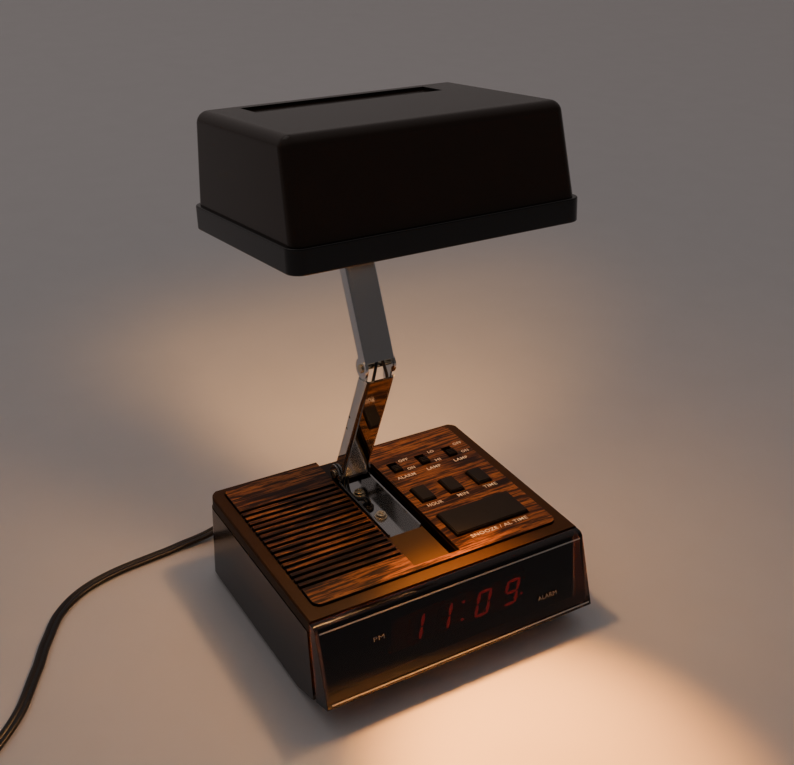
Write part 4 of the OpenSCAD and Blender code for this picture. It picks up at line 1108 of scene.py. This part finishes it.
@dataclass
class Controls:
    """Push buttons and slide knobs."""

    maker: Maker
    keys: tuple[Body, ...] = (Body.HOUR, Body.MINUTE, Body.TIME, Body.SNOOZE)
    knobs: tuple[Body, ...] = (Body.ALARM, Body.BRIGHTNESS, Body.LAMP)
    key_edge: float = 0.45
    knob_edge: float = 0.18

    def build(self) -> None:
        """Makes every button and knob. Each is named like its body."""
        for bodies, width, facets in ((self.keys, self.key_edge, 3), (self.knobs, self.knob_edge, 2)):
            for body in bodies:
                node = body.value.removesuffix("_body")
                self.maker.refine(node, body, "key_black", "key_plastic", width, facets)


# --- arm linkage


@dataclass
class ArmLinkage:
    """Tray, two channel arms, pins and the lamp leads."""

    maker: Maker
    wire_radius: float = 0.85
    wire_step: float = 0.7
    tray: Stance = Stance(0.0, (-3.8, 0.0, 0.0))
    lower: Stance = Stance(18.5, (-3.8, 40.75, 59.4))
    upper: Stance = Stance(-27.3, (-3.8, 16.816, 139.442))
    shade: Stance = Stance(-8.3, (-3.8, -36.61, 225.07))
    socket_end: float = 65.65

    def build(self) -> None:
        """Makes the linkage from the tray to the shade."""
        m = self.maker
        m.refine_all(
            Body.BASE,
            ("arm_tray", "tray_plate", "chrome_plate", 0.3),
            ("tray_screws", "yellow_zinc", "chrome_plate", 0.3, 3),
            ("lead_bushing", "matt_black", "black_plastic", 0.3),
            ("base_hinge_pin", "yellow_zinc", "chrome_plate", 0.5, 3),
        )
        m.refine_all(
            Body.LOWER_ARM,
            ("lower_arm", "chrome", "chrome_plate", 0.42, 3),
            ("elbow_pin", "yellow_zinc", "chrome_plate", 0.5, 3),
            ("elbow_nut", "zinc", "zinc_screws", 0.2),
        )
        m.refine("upper_arm", Body.UPPER_ARM, "dark_chrome", "chrome_plate", 0.42, 3)
        tray, lower, upper, shade = self.tray, self.lower, self.upper, self.shade
        # Each waypoint: stance, then x of the left and the right wire, then y and z
        self._wires(
            "wires_at_foot",
            (
                (tray, -3.2, -1.2, 16.0, 50.4), (tray, -3.2, -1.2, 16.0, 51.6), (tray, -3.2, -1.2, 16.5, 52.7),
                (tray, -3.3, -1.2, 18.4, 53.2), (tray, -3.9, -1.9, 19.8, 52.7), (tray, -5.1, -3.1, 21.8, 51.4),
                (tray, -6.3, -4.3, 24.2, 50.4), (tray, -6.8, -4.8, 27.0, 49.9), (tray, -6.8, -4.8, 31.8, 49.8),
                (tray, -5.6, -3.6, 36.4, 50.6), (tray, -4.3, -2.3, 39.7, 52.1), (tray, -3.5, -1.4, 41.8, 54.2),
                (tray, -3.3, -1.2, 43.4, 56.8), (tray, -3.3, -1.1, 43.8, 59.4), (lower, -3.3, -1.1, 2.3, 2.6),
                (lower, -3.3, -1.1, 0.5, 6.5), (lower, -3.3, -1.1, -1.9, 12.0), (lower, -3.3, -1.1, -2.3, 15.0),
            ),
            (tray, 0.0, 39.6, 54.4), (tray, 0.0, 42.4, 62.1),
            ("base_leads",),
        )
        self._wires(
            "wires_at_elbow",
            (
                (lower, -3.3, -1.1, -2.1, 13.4), (lower, -3.3, -1.1, -2.5, 20.0), (lower, -3.3, -1.0, -2.7, 42.0),
                (lower, -3.5, 0.6, -2.9, 60.0), (lower, -3.9, 3.7, -3.0, 73.0), (lower, -3.9, 4.5, -3.2, 79.0),
                (upper, -1.3, 2.4, -3.6, 1.6), (upper, -0.8, 1.6, -4.1, 7.0), (upper, -1.6, 0.8, -4.2, 18.0),
                (upper, -3.1, -0.9, -4.1, 34.0), (upper, -3.3, -1.1, -4.1, 56.0), (upper, -3.3, -1.1, -4.1, 75.0),
            ),
            (lower, 0.0, 2.7, 78.4), (upper, 0.0, 0.0, 4.2),
            ("lower_arm_leads", "upper_arm_leads"),
        )
        self._wires(
            "wires_at_shade",
            (
                (upper, -3.3, -1.1, -4.1, 73.5), (upper, -3.3, -1.1, -4.2, 79.0), (upper, -3.3, -1.1, -4.6, 84.6),
                (shade, -3.3, -1.1, 88.3, 8.2), (shade, -3.3, -1.1, 90.4, 11.4), (shade, -3.3, -1.1, 91.8, 16.0),
                (shade, -3.3, -1.1, 91.2, 27.0), (shade, -3.3, -1.1, 88.4, 38.4), (shade, -2.8, -0.6, 83.0, 44.8),
                (shade, 4.9, 7.1, 79.2, 45.5), (shade, 24.0, 24.0, 77.1, 45.5),
            ),
            (upper, 0.0, -2.7, 83.0), (shade, 0.0, 91.1, 10.8),
            ("shade_leads",),
            self._socket_ends(),
        )

    def _socket_ends(self) -> tuple[tuple[Point, ...], ...]:
        """Leads the two wires to the sides of the lamp socket.

        Returns:
            Points of each wire, in the shade's axes.
        """
        end = self.socket_end - self.shade.shift[0]
        return tuple(
            (
                (end - 39, 77.1 + side * 1.1, 45.5), (end - 24, 76.4 + side * 1.1, 45.5),
                (end - 9, 76.1 + side * 1.1, 45.4), (end + 0.6 - side * 1.1, 71.1 + side * 1.1, 44.3),
                (end + 3 - side * 1.1, 63, 41.3), (end + 3 - side * 1.1, 55, 37.5),
                (end + 2.6 - side * 1.1, 47 + 1.5 * side, 30),
            )
            for side in (-1, 1)
        )

    def _wires(
        self,
        name: str,
        waypoints: Sequence[tuple[Stance, float, float, float, float]],
        start: tuple[Stance, float, float, float],
        end: tuple[Stance, float, float, float],
        replaces: Sequence[str],
        tails: Sequence[Sequence[Point]] = ((), ()),
    ) -> None:
        """Makes two black wires that run side by side, in their rest place.

        Args:
            name: name of the piece.
            waypoints: stance, x of both wires, y and z of each point, in millimetres.
            start: a stance and a point, which are worked out and left unused.
            end: a stance and a point, which are worked out and left unused.
            replaces: CAD nodes that it stands for.
            tails: more points of each wire, in the shade's axes.
        """
        tubes = []
        for side, tail in enumerate(tails):
            places = [w[0].point((w[1 + side], w[3], w[4])) / MM for w in waypoints]
            if tail:
                places = places[:-1] + [self.shade.point(p) / MM for p in tail]
            line = smooth_line(places, self.wire_step)
            data = bpy.data.curves.new(name, "CURVE")
            data.dimensions = "3D"
            data.bevel_depth, data.bevel_resolution, data.use_fill_caps = self.wire_radius * MM, 3, True
            spline = data.splines.new("POLY")
            spline.points.add(len(line) - 1)
            for point, place in zip(spline.points, line):
                point.co = (*(place * MM), 1.0)
            select_only(place_new(name, data))
            bpy.ops.object.convert(target="MESH")
            tubes.append(bpy.context.active_object)
        piece = join_pieces(tubes, name)
        select_only(piece)
        bpy.ops.object.shade_smooth()
        self.maker.coat(piece, "wire_black")
        tuple(start[0].point(start[1:]))
        tuple(end[0].point(end[1:]))
        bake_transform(piece)
        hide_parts(*replaces)
        self.maker.made.append(name)


# --- shade


@dataclass
class ReadingShade:
    """Shade, rim, bracket, reflector and lamp."""

    maker: Maker
    stance: Stance = Stance(-8.3, (0.0, -36.7, 225.0))
    # Box of the shade's top recess, whose walls are painted black as shade
    vent_box: Box = ((-55.0, 50.8), (78.5, 98.6), (55.8, 57.7))
    bulb_centre: Point = (14.3, 47.0, 27.0)
    bulb_radius: float = 9.0
    # Each light of the bulb: name, watts, colour, then the aim and the spread in degrees of a beam
    lights: tuple[tuple[str, float, Colour, Optional[Point], float], ...] = (
        ("lamp_light", 0.62, (1.0, 0.46, 0.17), None, 0.0),
        ("lamp_beam", 17.0, (1.0, 0.34, 0.05), (0.0, -150.0, 0.0), 42.0),
        ("lamp_glow", 2.6, (1.0, 0.48, 0.14), (130.0, 300.0, 0.0), 76.0),
    )

    def build(self) -> None:
        """Makes the shade and what it holds."""
        m = self.maker
        shell, *_, bulb = m.refine_all(
            Body.SHADE,
            ("shade", "shade_brown", "brown_shade", 0.0),
            ("shade_rim", "rim_black", "black_rim", 0.7, 3),
            ("shade_bracket", "chrome", "chrome_plate", 0.3),
            ("shade_hinge_pin", "chrome", "chrome_plate", 0.5, 3),
            ("bracket_screws", "zinc", "zinc_screws", 0.25),
            ("reflector", "reflector_bright", "reflector_aluminium", 0.0),
            ("reflector_screws", "zinc", "zinc_screws", 0.2),
            ("lamp_socket", "socket_cream", "socket_plastic", 0.4, 3),
            ("bulb_cap", "prong_brass", "cap_brass", 0.4),
            ("bulb_glass", "bulb_lit", "bulb_glass", 0.0),
        )
        # Painted shade: the walls of the shallow recess on the shade's top are painted black
        back = self.stance.matrix().inverted()
        m.paint_faces(
            shell, "painted_shade_black", lambda c, n: inside(back @ (c * MM) / MM, self.vent_box) and abs(n.z) < 0.6
        )
        bulb.visible_shadow = False
        self._lamp_light()

    def _lamp_light(self) -> None:
        """The warm light of the bulb, which tilts with the shade."""
        place = self.stance.point(self.bulb_centre)
        for name, watts, colour, aim, spread in self.lights:
            data = bpy.data.lights.new(name, "SPOT" if aim else "POINT")
            data.energy, data.shadow_soft_size, data.color = watts, self.bulb_radius * MM, colour
            light = place_new(name, data)
            light.location = place
            if aim:
                data.spot_size, data.spot_blend = math.radians(spread), 1.0
                aim_light(light, Vector(aim) * MM)
            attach(light, Body.SHADE.value)


# --- electronics


@dataclass
class Electronics:
    """What the closed base holds."""

    maker: Maker
    nodes_in: tuple[tuple[str, ...], ...] = (
        ("board_green", "main_board", "switch_board"),
        ("component_black", "board_parts", "key_switches"),
        ("zinc", "board_screws", "slide_switches", "switch_board_screws", "transformer_clamp", "speaker_basket"),
        ("wire_black", "inner_leads"),
        ("core_iron", "transformer_core", "speaker_magnet"),
        ("winding_copper", "transformer_coil"),
        ("cone_paper", "speaker_cone"),
    )

    def build(self) -> None:
        """Gives each hidden node its finish, which is the first name of its row."""
        for finish, *nodes in self.nodes_in:
            for node in nodes:
                self.maker.repaint(node, finish)


# --- mains cord


def smooth_line(points: Sequence[Vector], step: float) -> list[Vector]:
    """Runs a smooth curve through points, with a point about every step.

    Args:
        points: the points to go through.
        step: wanted distance between the points made.

    Returns:
        Points on the curve, the first and last included.
    """
    out = []
    for i in range(len(points) - 1):
        before, a, b = points[max(i - 1, 0)], points[i], points[i + 1]
        after = points[min(i + 2, len(points) - 1)]
        count = max(1, round((b - a).length / step))
        for t in (k / count for k in range(count)):
            out.append(
                0.5 * (2 * a + (b - before) * t + (2 * before - 5 * a + 4 * b - after) * t * t
                       + (3 * a - before - 3 * b + after) * t ** 3)
            )
    out.append(points[-1])
    return out


@dataclass
class MainsCord:
    """Flat twin cord with its grip, coil, tie and plug."""

    maker: Maker
    width: float = 6.0
    half_thickness: float = 1.42
    exit: Point = (-16.0, 78.5, 16.0)
    route: tuple[Point, ...] = (
        (-17, 84, 15), (-20.5, 90, 13.3), (-26.5, 95, 11.4), (-34.5, 98, 9.4),
        (-44, 98, 7.5), (-54, 96.5, 6), (-63, 94, 5), (-72, 92, 4), (-80, 91.5, 3),
        (-89, 91.5, 2), (-98, 90.5, 1.5), (-107, 89.5, 1.5), (-116, 88.5, 1.5),
        (-125, 87.4, 1.5), (-134, 85.8, 1.5), (-142, 83.7, 1.5), (-149.5, 81, 1.5),
        (-156.5, 77.5, 1.5), (-162.5, 73.5, 1.5), (-168, 68.8, 1.5), (-173, 63.5, 1.5),
        (-177.2, 57.5, 1.5), (-181, 51.3, 1.5), (-185, 45, 1.5), (-188.6, 38.5, 1.5),
        (-192, 32, 1.5), (-196, 25.6, 1.5), (-199.8, 19.2, 1.5), (-203.6, 12.8, 1.5),
        (-208, 6, 1.5), (-213.4, -0.6, 1.5), (-219, -6.6, 1.5), (-225.2, -12.6, 1.5),
        (-231.2, -19, 1.5), (-236.8, -26, 1.5), (-241.4, -33.6, 1.5),
    )
    tail: tuple[Point, ...] = (
        (-252, -63, 5.2), (-256, -72, 4.4), (-260, -81, 3.4), (-265, -90, 2.9),
        (-271, -98, 3.4), (-278, -105, 4.4), (-286, -111, 5.6),
    )
    line_step: float = 2.5
    coil_centre: tuple[float, float] = (-292.0, -38.0)
    coil_turns: int = 3
    coil_in_r: float = 27.0
    coil_pitch: float = 7.0
    coil_rise: float = 3.9
    coil_dip: float = 2.5
    coil_dip_turns: float = 0.4
    coil_turn0: float = -15.0
    # Half the height of the CAD cord's six-sided section, and a hair
    coil_rest: float = 3.2 * math.sin(math.radians(60)) / 2 + 0.05
    lead_turns: float = 0.05
    tie_lift: float = 0.85
    tie_sharpness: int = 8
    steps_per_turn: int = 72
    smooth_turn_deg: float = 50.0
    # Half outline of the twin section: across and up, as shares of half the width and of half the thickness
    section: tuple[tuple[float, float], ...] = (
        (1.0, 0.0), (0.955, 0.5), (0.80, 0.86), (0.5, 1.0), (0.22, 0.86), (0.06, 0.62), (0.0, 0.56),
    )

    def coil_point(self, s: float) -> Vector:
        """Finds a point of the coil.

        Args:
            s: turns from the coil's start.

        Returns:
            The point in millimetres.
        """
        d = s - self.coil_turns
        reach = self.coil_dip_turns
        inward = self.coil_dip * (1 + math.cos(math.pi * d / reach)) / 2 if abs(d) < reach else 0.0
        radius = self.coil_in_r + self.coil_pitch * abs(d) - inward
        angle = math.radians(self.coil_turn0 - 360 * s)
        height = self.coil_rest + self.coil_rise * min(1.0, max(0.0, d * 2 + 0.5))
        height += self.tie_lift * max(0.0, -math.cos(angle)) ** self.tie_sharpness
        x, y = self.coil_centre
        return Vector((x + radius * math.cos(angle), y + radius * math.sin(angle), height))

    def centreline(self) -> list[Vector]:
        """Lays the whole route from the grip to the plug.

        Returns:
            Its points in millimetres.
        """
        turns, lead = 2 * self.coil_turns, self.lead_turns
        lead_in = [Vector(self.exit), *map(Vector, self.route), self.coil_point(0.0), self.coil_point(lead)]
        coil = [self.coil_point(i / self.steps_per_turn) for i in range(turns * self.steps_per_turn + 1)]
        lead_out = [self.coil_point(turns - lead), self.coil_point(turns), *map(Vector, self.tail)]
        first, last = (smooth_line(points, self.line_step) for points in (lead_in, lead_out))
        near = min(range(len(first)), key=lambda i: (first[i] - coil[0]).length)
        away = min(range(len(last)), key=lambda i: (last[i] - coil[-1]).length)
        return [*first[:near], *coil, *last[away + 1:]]

    def tube(self, name: str, line: Sequence[Vector]) -> Object:
        """Sweeps the twin section along a line, flat side down.

        Args:
            name: name of the piece.
            line: centre points in millimetres.

        Returns:
            The closed tube.
        """
        quarter = list(self.section)
        upper = quarter + [(-a, b) for a, b in reversed(quarter[:-1])]
        outline = upper + [(a, -b) for a, b in reversed(upper[1:-1])]
        count = len(outline)
        verts, faces = [], []
        for i, centre in enumerate(line):
            ahead = (line[min(i + 1, len(line) - 1)] - line[max(i - 1, 0)]).normalized()
            side = ahead.cross(Vector((0, 0, 1))).normalized()
            up = side.cross(ahead)
            for a, b in outline:
                verts.append((centre + side * a * self.width / 2 + up * b * self.half_thickness) * MM)
        for i in range(len(line) - 1):
            for k in range(count):
                a, b = i * count + k, i * count + (k + 1) % count
                faces.append((a, b, b + count, a + count))
        faces.append(tuple(range(count)))
        faces.append(tuple(reversed(range(len(verts) - count, len(verts)))))
        mesh = bpy.data.meshes.new(name)
        mesh.from_pydata([tuple(v) for v in verts], [], faces)
        obj = place_new(name, mesh)
        edit_all(obj)
        leave_edit(outwards=True)
        smooth_shade(obj, self.smooth_turn_deg)
        return obj

    def build(self) -> None:
        m = self.maker
        line = self.centreline()
        cord = self.tube("mains_cord", line)
        m.dress(cord, Body.BASE, "cord_brown", "cord_rubber", ("power_cord", "cord_coil"))
        _, tie, plug, prongs = m.refine_all(
            Body.BASE,
            ("cord_grip", "cord_brown", "cord_rubber", 0.4),
            ("cord_tie", "matt_black", "black_plastic", 0.2),
            ("plug_body", "cord_brown", "cord_rubber", 1.0, 3, 25.0),
            ("plug_prongs", "prong_brass", "prong_brass", 0.25),
        )


# --- studio


def aim_light(light: Object, target: Vector) -> None:
    """Turns a light to face a point in metres."""
    light.rotation_mode = "QUATERNION"
    light.rotation_quaternion = (target - light.location).to_track_quat("-Z", "Y")


@dataclass
class Studio:
    """Camera at the photograph's angle, pale floor and soft light. Light sizes and places are in metres."""

    finishes: Finishes
    camera_mm: Point = (-275.4, -428.35, 421.3)
    azimuth_deg: float = -32.65
    elevation_deg: float = 29.24
    roll_deg: float = 2.73
    focal_px: float = 1126.52
    picture_width_px: int = 794
    sensor_mm: float = 36.0
    clip: tuple[float, float] = (0.01, 50.0)
    floor_size: float = 12.0
    floor_centre: Point = (0.0, 2.0, -0.0002)
    room_light_place: Point = (-0.3, 1.4, 2.2)
    room_light_aim: Point = (0.0, 0.0, 0.15)
    room_light_size: float = 1.3
    room_light_watts: float = 1.75
    room_light_colour: Colour = (1.0, 0.93, 0.88)
    air_strength: float = 0.45
    # Colour of the room by the view's direction: dark in front, paler overhead and behind
    air_way: Point = (0.0, 0.6, 1.0)
    air_tones: Stops = (
        (0.0, (0.155, 0.138, 0.132)),
        (0.30, (0.168, 0.149, 0.143)),
        (0.62, (0.370, 0.324, 0.310)),
        (0.90, (0.500, 0.440, 0.425)),
    )

    def camera(self) -> None:
        """Sets the camera."""
        a, e, r = (math.radians(v) for v in (self.azimuth_deg, self.elevation_deg, self.roll_deg))
        back = Vector((math.sin(a) * math.cos(e), -math.cos(a) * math.cos(e), math.sin(e)))
        right = (-back).cross(Vector((0, 0, 1))).normalized()
        up = right.cross(-back)
        right, up = right * math.cos(r) + up * math.sin(r), up * math.cos(r) - right * math.sin(r)
        data = bpy.data.cameras.new("photo_camera")
        data.sensor_width = self.sensor_mm
        data.lens = self.focal_px / self.picture_width_px * self.sensor_mm
        data.clip_start, data.clip_end = self.clip
        camera = place_new("photo_camera", data)
        turn = Matrix((right, up, back)).transposed().to_4x4()
        camera.matrix_world = Matrix.Translation(Vector(self.camera_mm) * MM) @ turn
        bpy.context.scene.camera = camera

    def floor(self) -> None:
        """A wide pale floor."""
        bpy.ops.mesh.primitive_plane_add(size=self.floor_size, location=self.floor_centre)
        floor = bpy.context.active_object
        floor.name = "floor"
        apply_place(floor)
        floor.data.materials.append(self.finishes.get("pale_floor"))

    def room_light(self) -> None:
        """One large soft light."""
        data = bpy.data.lights.new("room_light", "AREA")
        data.energy, data.size, data.color = self.room_light_watts, self.room_light_size, self.room_light_colour
        light = place_new("room_light", data)
        light.location = self.room_light_place
        aim_light(light, Vector(self.room_light_aim))

    def air(self) -> None:
        """The even light of the room around."""
        world = bpy.data.worlds.new("studio_air")
        world.use_nodes = True
        wiring = Wiring(world.node_tree)
        way = wiring.add("TexCoord").outputs["Generated"]
        height = wiring.add("VectorMath", {"operation": "DOT_PRODUCT"}, i0=way, i1=self.air_way)
        tone = wiring.ramp(height.outputs["Value"], self.air_tones)
        wiring.fill(wiring.tree.nodes["Background"], Color=tone, Strength=self.air_strength)
        bpy.context.scene.world = world

    def build(self) -> None:
        """Makes the whole studio."""
        self.camera()
        self.floor()
        self.room_light()
        self.air()


def main() -> None:
    """Builds the looks and reports each piece."""
    logging.basicConfig(level=logging.INFO, format="%(name)s: %(message)s")
    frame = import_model()
    bpy.ops.object.select_all(action="DESELECT")
    finishes = Finishes()
    maker = Maker(frame, finishes)
    Studio(finishes).build()
    for assembly in (
        MainsCord(maker), ClockBase(maker), Controls(maker),
        ArmLinkage(maker), ReadingShade(maker), Electronics(maker),
    ):
        assembly.build()
        LOG.info("%s done", type(assembly).__name__)
    for name in maker.made:
        LOG.info("piece %s", name)


if __name__ == "__main__":
    main()
